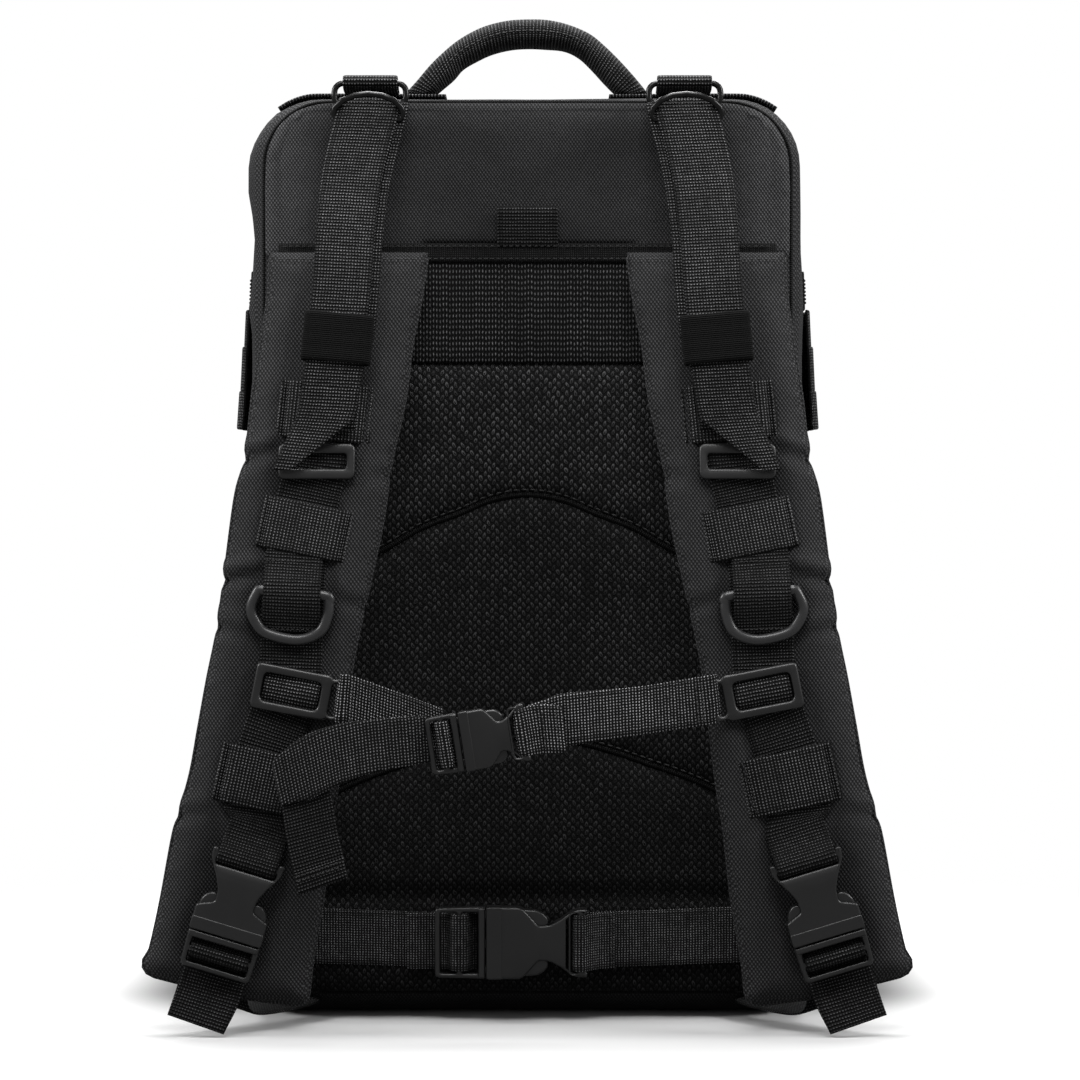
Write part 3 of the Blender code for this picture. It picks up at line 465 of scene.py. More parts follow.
# cloth_yoke has painted light making its flanks paler
M_YOKE = cordura("cloth_yoke", 0.031, 1.9, 1.5, 1.8, painted_side_light=0.95)
M_WEB = webbing("web_shoulder", 0.0180, 1.83, 1.65, 17.0, 0.00048, 10.2)
M_WEB_LOW = webbing("web_strap", 0.0072, 1.83, 1.65, 17.0, 0.00048, 10.6)
M_WEB_KEEPER = webbing("web_keeper", 0.0185, 1.83, 1.65, 15.0, 0.00046, 9.4)
M_WEB_STERNUM = webbing("web_sternum", 0.0375, 1.75, 1.6, 13.0, 0.00048, 10.4)
M_WEB_HIP = webbing("web_hip", 0.062, 1.6, 1.4, 15.5, 0.00020, 3.1)
M_BAND = webbing("web_band", 0.0150, 1.83, 3.1, None, 0.00042, 8.2)
M_TAPE = webbing("web_tape", 0.012, 1.2, 1.2, None, 0.00015, 2.4)
M_MOLLE = webbing("web_rows", 0.036, 1.83, 1.6, 12.5, 0.00038, 5.4)
M_HANDLE = webbing("web_handle", 0.0235, 1.9, 1.6, None, 0.00036, 6.4)
# the three mesh fields step darker from the upper to the lower: partly their own tone, partly painted shade for the
# light falling off towards the bottom
M_MESH_UP = spacer_mesh("mesh_upper", 0.027, 4.8, 4.7)
M_MESH_MID = spacer_mesh("mesh_middle", 0.0150, 4.8, 4.6)
M_MESH_LOW = spacer_mesh("mesh_lower", 0.0092, 4.8, 4.6)
M_LOOP = cordura("loop_field", 0.018, 0.8, 0.3, 1.0)
M_ELASTIC = elastic_cloth("elastic", 0.0075)
M_PLASTIC = moulded("moulded_black", 0.0085, 0.40)
M_RING = moulded("moulded_ring", 0.026, 0.36)
M_WIRE = lacquer("lacquer_wire", 0.005)
M_THREAD = thread("thread_black", 0.018)
M_COIL = zip_coil("zip_coil", 0.012)
M_LINING = lining("lining", 0.020)


# =====================================================================================================================
# geometry helpers (metres)
# =====================================================================================================================
def link(name, me, mats):
    o = bpy.data.objects.new(name, me)
    scene.collection.objects.link(o)
    for m in (mats if isinstance(mats, (list, tuple)) else [mats]):
        me.materials.append(m)
    return o


def smooth_on(me, on=True):
    me.polygons.foreach_set("use_smooth", [on] * len(me.polygons))


def make(name, pts, faces, mats, uvs=None, smooth=True, mat_index=None):
    me = bpy.data.meshes.new(name)
    me.from_pydata([tuple(p) for p in pts], [], [tuple(f) for f in faces])
    if uvs is not None:
        layer = me.uv_layers.new(name="weave")
        flat = np.array([uvs[v] for f in faces for v in f], np.float32).ravel()
        layer.data.foreach_set("uv", flat)
    if mat_index is not None:
        me.polygons.foreach_set("material_index", mat_index)
    smooth_on(me, smooth)
    me.validate()
    me.update()
    return link(name, me, mats)


PAD_LINE = [(0, -153.0), (115, -160.0), (165, -160.5), (250, -155.0), (300, -147.5), (350, -137.5), (400, -125.0), (440, -113.2)]
_zs = np.array([p[0] for p in PAD_LINE], float)
_ys = np.array([p[1] for p in PAD_LINE], float)


def line_y(z):
    """The front face of the shoulder pads, in mm."""
    return float(np.interp(z, _zs, _ys))


def catmull(points, step):
    """A smooth line through points, resampled about every step."""
    P = [np.array(p, float) for p in points]
    P = [2 * P[0] - P[1]] + P + [2 * P[-1] - P[-2]]
    dense = []
    for i in range(1, len(P) - 2):
        a, b, c, d = P[i - 1], P[i], P[i + 1], P[i + 2]
        for k in range(12):
            t = k / 12
            dense.append(0.5 * (2 * b + (c - a) * t + (2 * a - 5 * b + 4 * c - d) * t * t + (3 * b - a - 3 * c + d) * t ** 3))
    dense.append(P[-2])
    D = np.array(dense)
    s = np.concatenate([[0], np.cumsum(np.linalg.norm(np.diff(D, axis=0), axis=1))])
    n = max(2, int(round(s[-1] / step)) + 1)
    q = np.linspace(0, s[-1], n)
    return np.stack([np.interp(q, s, D[:, k]) for k in range(D.shape[1])], 1)


def strap(name, stations, mat, thick=1.6, step=2.2, across=8, smooth_path=True, crown=0.0, ripple=0.0, v0=0.0, seed=0.0):
    """A length of webbing in mm through (left edge, right edge) stations, as one closed mesh with a woven UV in metres."""
    S = np.array([list(l) + list(r) for l, r in stations], float)
    S = catmull(S, step * 1.45) if smooth_path else S
    L, R = S[:, :3], S[:, 3:]
    C = (L + R) / 2
    T = np.gradient(C, axis=0)
    T /= np.linalg.norm(T, axis=1)[:, None] + 1e-12
    Wd = R - L
    wid = np.linalg.norm(Wd, axis=1)
    Wn = Wd / (wid[:, None] + 1e-12)
    N = np.cross(T, Wn)
    N /= np.linalg.norm(N, axis=1)[:, None] + 1e-12
    arc = np.concatenate([[0], np.cumsum(np.linalg.norm(np.diff(C, axis=0), axis=1))])
    n = len(C)
    fr = [-1.0, -0.975, -0.90] + list(np.linspace(-0.9, 0.9, across + 1))[1:-1] + [0.90, 0.975, 1.0]
    th = [0.30, 0.75, 1.0] + [1.0] * (across - 1) + [1.0, 0.75, 0.30]
    m = len(fr)
    pts, uvs = [], []
    for i in range(n):
        for side in (1, -1):
            for f, h in zip(fr, th):
                rp = 0.0
                if ripple:
                    rp = ripple * noise.noise(Vector((arc[i] * 0.035 + seed, f * 0.9, seed * 1.7)))
                p = C[i] + Wn[i] * (f * wid[i] / 2) + N[i] * (side * thick / 2 * h + crown * (1 - f * f) + rp)
                pts.append(p * MM)
                uvs.append((f * wid[i] / 2 * MM + (0.5 if side < 0 else 0.0), (arc[i] + v0) * MM))
    faces = []
    row = 2 * m
    for i in range(n - 1):
        a, b = i * row, (i + 1) * row
        for k in range(m - 1):
            faces.append((a + k, a + k + 1, b + k + 1, b + k))
            faces.append((a + m + k, b + m + k, b + m + k + 1, a + m + k + 1))
        faces.append((a, b, b + m, a + m))
        faces.append((a + m - 1, a + 2 * m - 1, b + 2 * m - 1, b + m - 1))
    for i, flip in ((0, False), (n - 1, True)):
        a = i * row
        for k in range(m - 1):
            f = (a + k, a + m + k, a + m + k + 1, a + k + 1)
            faces.append(f if not flip else f[::-1])
    o = make(name, pts, faces, mat, uvs)
    fix(o)
    return o


def fix(o):
    bm = bmesh.new()
    bm.from_mesh(o.data)
    bmesh.ops.recalc_face_normals(bm, faces=bm.faces)
    if bm.calc_volume(signed=True) < 0:
        bmesh.ops.reverse_faces(bm, faces=bm.faces)
    bm.to_mesh(o.data)
    bm.free()


def tube(name, path, r, mat, sides=10, closed=False, squash=1.0, step=None, v_scale=1.0):
    """A round cord along points in mm."""
    P = np.array(path, float)
    if step:
        if closed:
            P = np.vstack([P, P[:1]])
        P = catmull(P, step)
        if closed:
            P = P[:-1]
    n = len(P)
    if closed:
        T = np.roll(P, -1, 0) - np.roll(P, 1, 0)
    else:
        T = np.gradient(P, axis=0)
    T /= np.linalg.norm(T, axis=1)[:, None] + 1e-12
    ref = np.array([0.0, 1.0, 0.0])
    arc = np.concatenate([[0], np.cumsum(np.linalg.norm(np.diff(P, axis=0), axis=1))])
    pts, uvs, faces = [], [], []
    for i in range(n):
        a = np.cross(T[i], ref)
        if np.linalg.norm(a) < 0.15:
            a = np.cross(T[i], np.array([1.0, 0, 0]))
        a /= np.linalg.norm(a)
        b = np.cross(a, T[i])
        rr = r[i] if hasattr(r, "__len__") else r
        for k in range(sides):
            t = TAU * k / sides
            pts.append((P[i] + a * rr * math.cos(t) + b * rr * squash * math.sin(t)) * MM)
            uvs.append((k / sides * 0.01, arc[i] * MM * v_scale))
    for i in range(n if closed else n - 1):
        j = (i + 1) % n
        for k in range(sides):
            l = (k + 1) % sides
            faces.append((i * sides + k, i * sides + l, j * sides + l, j * sides + k))
    if not closed:
        faces.append(tuple(range(sides))[::-1])
        faces.append(tuple((n - 1) * sides + k for k in range(sides)))
    o = make(name, pts, faces, mat, uvs)
    fix(o)
    return o


def resample(poly, step, closed=True):
    P = np.array(poly, float)
    if closed:
        P = np.vstack([P, P[:1]])
    out = []
    for a, b in zip(P[:-1], P[1:]):
        n = max(1, int(round(np.linalg.norm(b - a) / step)))
        for k in range(n):
            out.append(a + (b - a) * k / n)
    if not closed:
        out.append(P[-1])
    return np.array(out)


def round_corners(poly, r, n=4):
    """A closed outline with its corners rounded."""
    out = []
    N = len(poly)
    for i in range(N):
        a, p, b = (np.array(poly[j % N], float) for j in (i - 1, i, i + 1))
        u, v = a - p, b - p
        lu, lv = np.linalg.norm(u), np.linalg.norm(v)
        rr = min(r if not hasattr(r, "__len__") else r[i], lu * 0.45, lv * 0.45)
        p0, p1 = p + u / lu * rr, p + v / lv * rr
        for k in range(n + 1):
            t = k / n
            out.append(tuple((1 - t) ** 2 * p0 + 2 * t * (1 - t) * p + t * t * p1))
    return out


def edge_distance(Q, poly):
    P = np.array(poly, float)
    A, B = P, np.roll(P, -1, 0)
    best = np.full(len(Q), 1e9)
    for a, b in zip(A, B):
        d = b - a
        t = np.clip(((Q - a) @ d) / (d @ d + 1e-12), 0, 1)
        best = np.minimum(best, np.linalg.norm(Q - a - t[:, None] * d, axis=1))
    return best


def inside_mask(Q, poly):
    P = np.array(poly, float)
    x, y = Q[:, 0], Q[:, 1]
    hit = np.zeros(len(Q), bool)
    for (x0, y0), (x1, y1) in zip(P, np.roll(P, -1, 0)):
        c = (y0 > y) != (y1 > y)
        with np.errstate(divide="ignore", invalid="ignore"):
            xi = (x1 - x0) * (y - y0) / (y1 - y0 + 1e-30) + x0
        hit ^= c & (x < xi)
    return hit


def pillow(name, outline, front, back, mat, edge_r=6.0, step=5.0, grid=None, rim=0.0, uv=False):
    """A closed padded form over an outline in (x, z) mm. front(x, z, d) and back(x, z, d) give y for a point d from the edge."""
    B = resample(outline, step)
    lo, hi = B.min(0), B.max(0)
    g = grid or step
    xs = np.arange(lo[0] + g / 2, hi[0], g)
    zs = np.arange(lo[1] + g / 2, hi[1], g)
    G = np.array([(x + (g / 2 if j % 2 else 0), z) for j, z in enumerate(zs) for x in xs])
    G = G[inside_mask(G, B)]
    G = G[edge_distance(G, B) > g * 0.5]
    ring = []
    pts2 = [Vector(p) for p in B] + [Vector(p) for p in G]
    nb = len(B)
    edges = [(i, (i + 1) % nb) for i in range(nb)]
    v, e, f, ov, oe, of_ = delaunay_2d_cdt(pts2, edges, [], 1, 1e-5)
    V = np.array([tuple(p) for p in v])
    d = edge_distance(V, B)
    cen = np.array([V[list(t)].mean(0) for t in f])
    keep = inside_mask(cen, B)
    F = [t for t, k in zip(f, keep) if k]
    n = len(V)
    on_edge = d < 1e-3
    pts, uvs = [], []
    for (x, z), dd in zip(V, d):
        pts.append((x * MM, front(x, z, dd) * MM, z * MM))
    idx_back = {}
    for i, ((x, z), dd) in enumerate(zip(V, d)):
        if on_edge[i] and rim <= 0:
            idx_back[i] = i
        else:
            idx_back[i] = len(pts)
            pts.append((x * MM, back(x, z, dd) * MM, z * MM))
    faces = [tuple(t) for t in F] + [tuple(idx_back[i] for i in t[::-1]) for t in F]
    if rim > 0:
        cnt = {}
        for t in F:
            for a, b in zip(t, t[1:] + t[:1]):
                cnt[(min(a, b), max(a, b))] = cnt.get((min(a, b), max(a, b)), 0) + 1
        for t in F:
            for a, b in zip(t, t[1:] + t[:1]):
                if cnt[(min(a, b), max(a, b))] == 1:
                    faces.append((b, a, idx_back[a], idx_back[b]))
    uvs = [(p[0], p[2]) for p in pts] if uv else None
    o = make(name, pts, faces, mat, uvs)
    fix(o)
    return o


def dome(d, r):
    t = min(max(d / r, 0.0), 1.0)
    return math.sqrt(max(0.0, 1 - (1 - t) ** 2))


def stitches(name, path, out, body, length=2.4, gap=1.1, r=0.33, mat=None, lift=0.25, straight=True):
    """A run of lock stitches along a line in mm; out is the outward direction or a function of the point."""
    P = resample(path, 1.0, closed=False) if straight else np.array(path, float)
    s = np.concatenate([[0], np.cumsum(np.linalg.norm(np.diff(P, axis=0), axis=1))])
    pts, faces = [], []
    q = 0.6
    while q + length < s[-1]:
        a = np.array([np.interp(q, s, P[:, k]) for k in range(3)])
        b = np.array([np.interp(q + length, s, P[:, k]) for k in range(3)])
        o = np.array(out(a) if callable(out) else out, float)
        o /= np.linalg.norm(o)
        t = (b - a) / (np.linalg.norm(b - a) + 1e-9)
        w = np.cross(t, o)
        base = len(pts)
        for c, rr, hh in ((a, 0.25, -0.2), (a * 0.75 + b * 0.25, 1.0, 0.8), (a * 0.25 + b * 0.75, 1.0, 0.8), (b, 0.25, -0.2)):
            c = c + o * (lift + r * hh * 0.6)
            for k in range(5):
                an = TAU * k / 5
                pts.append((c + w * r * rr * math.cos(an) + o * r * rr * math.sin(an)) * MM)
        for i in range(3):
            for k in range(5):
                l = (k + 1) % 5
                faces.append((base + i * 5 + k, base + i * 5 + l, base + (i + 1) * 5 + l, base + (i + 1) * 5 + k))
        faces.append(tuple(base + k for k in range(5))[::-1])
        faces.append(tuple(base + 15 + k for k in range(5)))
        q += length + gap
    if not pts:
        return None
    o = make(name, pts, faces, mat or M_THREAD)
    if body:
        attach(o, body)
    return o


# ---- moulded plates ------------------------------------------------------------------------------------------------
def area2(poly):
    return sum(a[0] * b[1] - b[0] * a[1] for a, b in zip(poly, poly[1:] + poly[:1]))


def inset(poly, d):
    """A closed outline moved inwards by d (outwards for a negative d); the outline is counter-clockwise."""
    P = np.array(poly, float)
    e = np.roll(P, -1, 0) - P
    e /= np.linalg.norm(e, axis=1)[:, None] + 1e-12
    nrm = np.stack([-e[:, 1], e[:, 0]], 1)
    m = nrm + np.roll(nrm, 1, 0)
    m /= np.linalg.norm(m, axis=1)[:, None] + 1e-12
    c = np.clip((m * nrm).sum(1), 0.5, 1)
    return [tuple(p) for p in P + m * (d / c)[:, None]]


def dedupe(poly, eps=0.02):
    out = []
    for p in poly:
        if not out or math.hypot(p[0] - out[-1][0], p[1] - out[-1][1]) > eps:
            out.append(p)
    if math.hypot(out[0][0] - out[-1][0], out[0][1] - out[-1][1]) <= eps:
        out.pop()
    return out


def plate(outer, w0, w1, holes=(), b=0.8, corner=1.5, seg=3, hole_corner=1.2):
    """A moulded plate in (u, v, w) mm with rounded corners and rounded edges."""
    loops = []
    o = dedupe(round_corners(outer if area2(list(outer)) > 0 else list(outer)[::-1], corner, 4))
    loops.append((o, +1))
    for h in holes:
        hh = dedupe(round_corners(h if area2(list(h)) > 0 else list(h)[::-1], hole_corner, 3))
        loops.append((hh, -1))
    prof = [(b * (1 - math.sin(math.pi / 2 * k / seg)), b * (1 - math.cos(math.pi / 2 * k / seg))) for k in range(seg + 1)]
    levels = [(i, w0 + h) for i, h in prof] + [(i, w1 - h) for i, h in prof[::-1]]
    pts, faces = [], []
    start = []
    for lp, sgn in loops:
        rings = []
        for ins, w in levels:
            q = inset(lp, ins * sgn)
            rings.append(list(range(len(pts), len(pts) + len(q))))
            pts += [(p[0], p[1], w) for p in q]
        start.append(rings)
        n = len(lp)
        for r0, r1 in zip(rings, rings[1:]):
            for k in range(n):
                l = (k + 1) % n
                f = (r0[k], r0[l], r1[l], r1[k])
                faces.append(f if sgn > 0 else f[::-1])
    for level, flip in ((0, True), (-1, False)):
        ids, edges = [], []
        for rings in start:
            r = rings[level]
            base = len(ids)
            ids += r
            edges += [(base + k, base + (k + 1) % len(r)) for k in range(len(r))]
        p2 = [Vector((pts[i][0], pts[i][1])) for i in ids]
        v, e, f, ov, oe, of_ = delaunay_2d_cdt(p2, edges, [], 1, 1e-6)
        back = [ids[o_[0]] if o_ else None for o_ in ov]
        L = [[(pts[i][0], pts[i][1]) for i in rings[level]] for rings in start]
        cen = np.array([[(v[t[0]][0] + v[t[1]][0] + v[t[2]][0]) / 3, (v[t[0]][1] + v[t[1]][1] + v[t[2]][1]) / 3] for t in f])
        ok = inside_mask(cen, L[0])
        for h in L[1:]:
            ok &= ~inside_mask(cen, h)
        for t, k in zip(f, ok):
            if k and None not in [back[i] for i in t]:
                tt = [back[i] for i in t]
                faces.append(tuple(tt[::-1]) if flip else tuple(tt))
    return pts, faces


def block(u0, u1, v0, v1, w0, w1):
    p = [(u, v, w) for u in (u0, u1) for v in (v0, v1) for w in (w0, w1)]
    return p, [(0, 1, 3, 2), (4, 6, 7, 5), (0, 4, 5, 1), (2, 3, 7, 6), (0, 2, 6, 4), (1, 5, 7, 3)]


def as_object(solid, name="tmp"):
    me = bpy.data.meshes.new(name)
    me.from_pydata([tuple(p) for p in solid[0]], [], [tuple(f) for f in solid[1]])
    bm = bmesh.new()
    bm.from_mesh(me)
    bmesh.ops.remove_doubles(bm, verts=bm.verts, dist=1e-4)
    bmesh.ops.recalc_face_normals(bm, faces=bm.faces)
    if bm.calc_volume(signed=True) < 0:
        bmesh.ops.reverse_faces(bm, faces=bm.faces)
    bm.to_mesh(me)
    bm.free()
    o = bpy.data.objects.new(name, me)
    scene.collection.objects.link(o)
    return o


def combine(first, *rest):
    """first joined with or cut by (op, solid) pairs, exactly."""
    a = as_object(first)
    temp = []
    for op, s in rest:
        b = as_object(s)
        temp.append(b)
        m = a.modifiers.new("b", "BOOLEAN")
        m.operation, m.solver, m.object = op, "EXACT", b
    bpy.context.view_layer.update()
    dg = bpy.context.evaluated_depsgraph_get()
    me = bpy.data.meshes.new_from_object(a.evaluated_get(dg))
    out = ([tuple(v.co) for v in me.vertices], [tuple(p.vertices) for p in me.polygons])
    for o in temp + [a]:
        bpy.data.objects.remove(o, do_unlink=True)
    bpy.data.meshes.remove(me)
    return out


def local(cx, cz, dx, dz):
    n = math.hypot(dx, dz)
    dx, dz = dx / n, dz / n
    return lambda a, b: (cx + a * dx - b * dz, cz + a * dz + b * dx)


def seat(mouth, direction, lift, on_line=True, y0=0.0, mirror=False):
    """From buckle coordinates (u in, v across, w out) to a point in mm."""
    at = local(mouth[0], mouth[1], *direction)

    def place(u, v, w):
        x, z = at(u, v)
        y = (line_y(z) if on_line else y0) - w - lift
        return (-x if mirror else x, y, z)
    return place


def moulded_piece(name, solid, place, mat, body, *nodes, angle=40):
    pts = [place(*p) for p in solid[0]]
    o = make(name, [(p[0] * MM, p[1] * MM, p[2] * MM) for p in pts], solid[1], mat)
    fix(o)
    me = o.data
    bm = bmesh.new()
    bm.from_mesh(me)
    for e in bm.edges:
        if len(e.link_faces) == 2 and e.calc_face_angle(0) > math.radians(angle):
            e.smooth = False
    bm.to_mesh(me)
    bm.free()
    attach(o, body)
    if nodes:
        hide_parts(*nodes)
    return o


def join(*solids):
    """Closed solids set into one another, kept as they are."""
    pts, faces = [], []
    for p, f in solids:
        k = len(pts)
        pts += list(p)
        faces += [tuple(i + k for i in q) for q in f]
    return pts, faces


def female(L, hb, he, t, notch, slot, a, b):
    """The socket: a flat body with a throat on each side from a to b of its length, a collar at the mouth, ears at the bar."""
    r = 1.0 - b
    side = [(0, hb), (a * L, hb), ((a + 0.22 * (b - a)) * L, hb - 0.10 * notch), ((a + 0.6 * (b - a)) * L, hb - 0.52 * notch), (b * L, hb - notch),
            ((b + 0.26 * r) * L, hb - 0.95 * notch), ((b + 0.52 * r) * L, hb - 0.62 * notch), ((b + 0.74 * r) * L, hb - 0.22 * notch), ((b + 0.88 * r) * L, he + 0.4),
            (1.045 * L, he + 0.5), (1.045 * L, he - 2.2), (L, he - 3.6)]
    o = [(u, -v) for u, v in side] + [(u, v) for u, v in side[::-1]]
    body = plate(o, -t / 2, t / 2, [[(L - 6.6, -slot), (L - 2.8, -slot), (L - 2.8, slot), (L - 6.6, slot)]], b=1.3, corner=1.8)
    cav = block(-5, 0.70 * L, -hb + 2.0, hb - 2.0, -t / 2 + 1.8, t / 2 - 1.8)
    collar = plate([(0.25, -hb - 0.15), (0.17 * L, -hb - 0.15), (0.17 * L, hb + 0.15), (0.25, hb + 0.15)], -t / 2 - 0.35, t / 2 + 0.35, (), b=0.8, corner=1.4)
    return join(combine(body, ("DIFFERENCE", cav)), combine(collar, ("DIFFERENCE", cav)))


def male(L, Lm, hb, t, slot, notch, a, b):
    """The plug: a frame with two bars, a shoulder, a middle prong and two springy arms whose heads fill the socket's throats."""
    tf = t * 0.56
    c = -Lm * 0.52
    frame_ = plate([(-Lm, -hb + 0.6), (-2.6, -hb), (-0.6, -hb), (-0.6, hb), (-2.6, hb), (-Lm, hb - 0.6)], -tf / 2, tf / 2,
                   [[(-Lm + 3.0, -slot), (c - 1.4, -slot), (c - 1.4, slot), (-Lm + 3.0, slot)],
                    [(c + 1.4, -slot), (-4.4, -slot), (-4.4, slot), (c + 1.4, slot)]], b=1.2, corner=3.0)
    shoulder = plate([(-4.2, -hb + 0.3), (-0.4, -hb + 0.3), (-0.4, hb - 0.3), (-4.2, hb - 0.3)], -t / 2 + 0.1, t / 2 - 0.1, (), b=1.2, corner=1.2)
    tp = t - 4.0
    av = hb - 2.4
    arms = []
    arm = [(-2.2, av - 4.6), (0.6 * a * L, av - 4.6), (b * L - 4.0, hb - notch - 3.0), (b * L + 2.0, hb - notch - 2.8), (b * L + 0.105 * L, hb - notch + 0.6),
           (b * L + 0.10 * L, hb - 0.62 * notch), (b * L + 0.045 * L, hb - 0.32 * notch), (b * L - 0.02 * L, hb - 0.17 * notch), (a * L + 1.4, hb - 1.3), (a * L - 1.0, hb - 1.6), (0.5 * a * L, av), (-2.2, av)]
    for s in (1, -1):
        arms.append(plate([(u, v * s) for u, v in arm], -tp / 2, tp / 2, (), b=1.2, corner=1.4))
    prong = plate([(-2.2, -2.6), (0.42 * L, -2.0), (0.5 * L, -1.0), (0.5 * L, 1.0), (0.42 * L, 2.0), (-2.2, 2.6)], -tp / 2 + 0.3, tp / 2 - 0.3, (), b=0.5, corner=0.8)
    return join(frame_, shoulder, prong, *arms)


# =====================================================================================================================
# packbag
# =====================================================================================================================
W, T = 154.5, 517.0
SPLIT, ZIP_END = 40.2, 110.2
SECTIONS = [(-100.0, (W - 14, 21.0, T - 8.0, 32, 26)), (-98.4, (W - 9.4, 17.0, T - 4.6, 34, 25)), (-96.0, (W - 5.6, 13.0, T - 2.2, 36, 24)), (-92.0, (W - 2.0, 8.6, T - 0.8, 37, 22)), (-86.0, (W, 4.6, T, 38, 20)), (-76.0, (W, 1.2, T, 38, 20)), (-66.0, (W, 0, T, 38, 20)), (71.0, (W, 0, T, 38, 20)),
            (77.6, (W - 4, 1.8, T - 3, 36, 22)), (80.0, (W - 10, 6, T - 9, 32, 24))]


def section(hw, z0, z1, rt, rl, n=9, top=18, side=34):
    pts = []
    arcs = ((hw - rt, z1 - rt, rt, 0), (-hw + rt, z1 - rt, rt, 90), (-hw + rl, z0 + rl, rl, 180), (hw - rl, z0 + rl, rl, 270))
    runs = (top, side, top, side)
    for i, (cx, cz, r, a0) in enumerate(arcs):
        arc = [(cx + r * math.cos(math.radians(a0 + 90 * k / n)), cz + r * math.sin(math.radians(a0 + 90 * k / n))) for k in range(n + 1)]
        pts += arc
        nx = arcs[(i + 1) % 4]
        b = (nx[0] + nx[2] * math.cos(math.radians(nx[3])), nx[1] + nx[2] * math.sin(math.radians(nx[3])))
        a = arc[-1]
        m = runs[i]
        pts += [(a[0] + (b[0] - a[0]) * k / m, a[1] + (b[1] - a[1]) * k / m) for k in range(1, m)]
    return pts


def at_y(y):
    for (y0, a), (y1, b) in zip(SECTIONS, SECTIONS[1:]):
        if y <= y1:
            t = (y - y0) / (y1 - y0)
            return tuple(p + (q - p) * t for p, q in zip(a, b))
    return SECTIONS[-1][1]


def fold(q, scale, seed):
    """A ridged field: narrow creases between broad swells."""
    n = noise.noise(Vector((q[0] * scale + seed, q[1] * scale * 0.8 + seed * 0.7, q[2] * scale * 1.25 - seed)))
    return 1.0 - 2.0 * abs(n) ** 0.75


def bag_noise(p):
    """How far cloth at p stands in or out: broad slack, swells with creases between them and short wrinkles."""
    q = Vector(p)
    a = noise.noise(q * 0.010 + Vector((3.1, 7.7, 1.3)))
    b = noise.noise(q * 0.030 + Vector((9.2, 0.4, 5.5)))
    calm = 1.0
    if 325 < p[2] < 430 and -80 < p[1] < 30:
        calm = 0.35
    if p[1] > 70 and 395 < p[2] < 475 and abs(p[0]) < 105:
        calm = 0.45
    if p[2] > 508:
        calm = 0.35
    return (4.6 * a + 1.7 * b + 3.4 * fold(p, 0.012, 4.0) - 0.8) * calm


def bag_surface():
    ys = [-100.0, -99.3, -98.4, -97.2, -96.0, -94.0, -92.0, -90.0, -88.0] + list(np.arange(-78, 64, 9.3)) + [67.0, 71.0, 75.0, 78.0, 79.6, 80.0]
    rings, pts = [], []
    for y in ys:
        sec = section(*at_y(y))
        rings.append(list(range(len(pts), len(pts) + len(sec))))
        pts += [(x, y, z) for x, z in sec]
    faces = []
    n = len(rings[0])
    for r0, r1 in zip(rings, rings[1:]):
        for k in range(n):
            l = (k + 1) % n
            faces.append((r0[k], r0[l], r1[l], r1[k]))
    for ring, y in ((rings[0], ys[0]), (rings[-1], ys[-1])):
        B = np.array([(pts[i][0], pts[i][2]) for i in ring])
        lo, hi = B.min(0), B.max(0)
        G = np.array([(x, z) for z in np.arange(lo[1] + 8, hi[1], 9.0) for x in np.arange(lo[0] + 8, hi[0], 9.0)])
        G = G[inside_mask(G, B)]
        G = G[edge_distance(G, B) > 4.0]
        ids = list(ring)
        for g in G:
            ids.append(len(pts))
            pts.append((g[0], y, g[1]))
        p2 = [Vector((pts[i][0], pts[i][2])) for i in ids]
        v, e, f, ov, oe, of_ = delaunay_2d_cdt(p2, [(k, (k + 1) % n) for k in range(n)], [], 1, 1e-6)
        back = [ids[o_[0]] for o_ in ov]
        faces += [tuple(back[i] for i in t) for t in f]
    return pts, faces


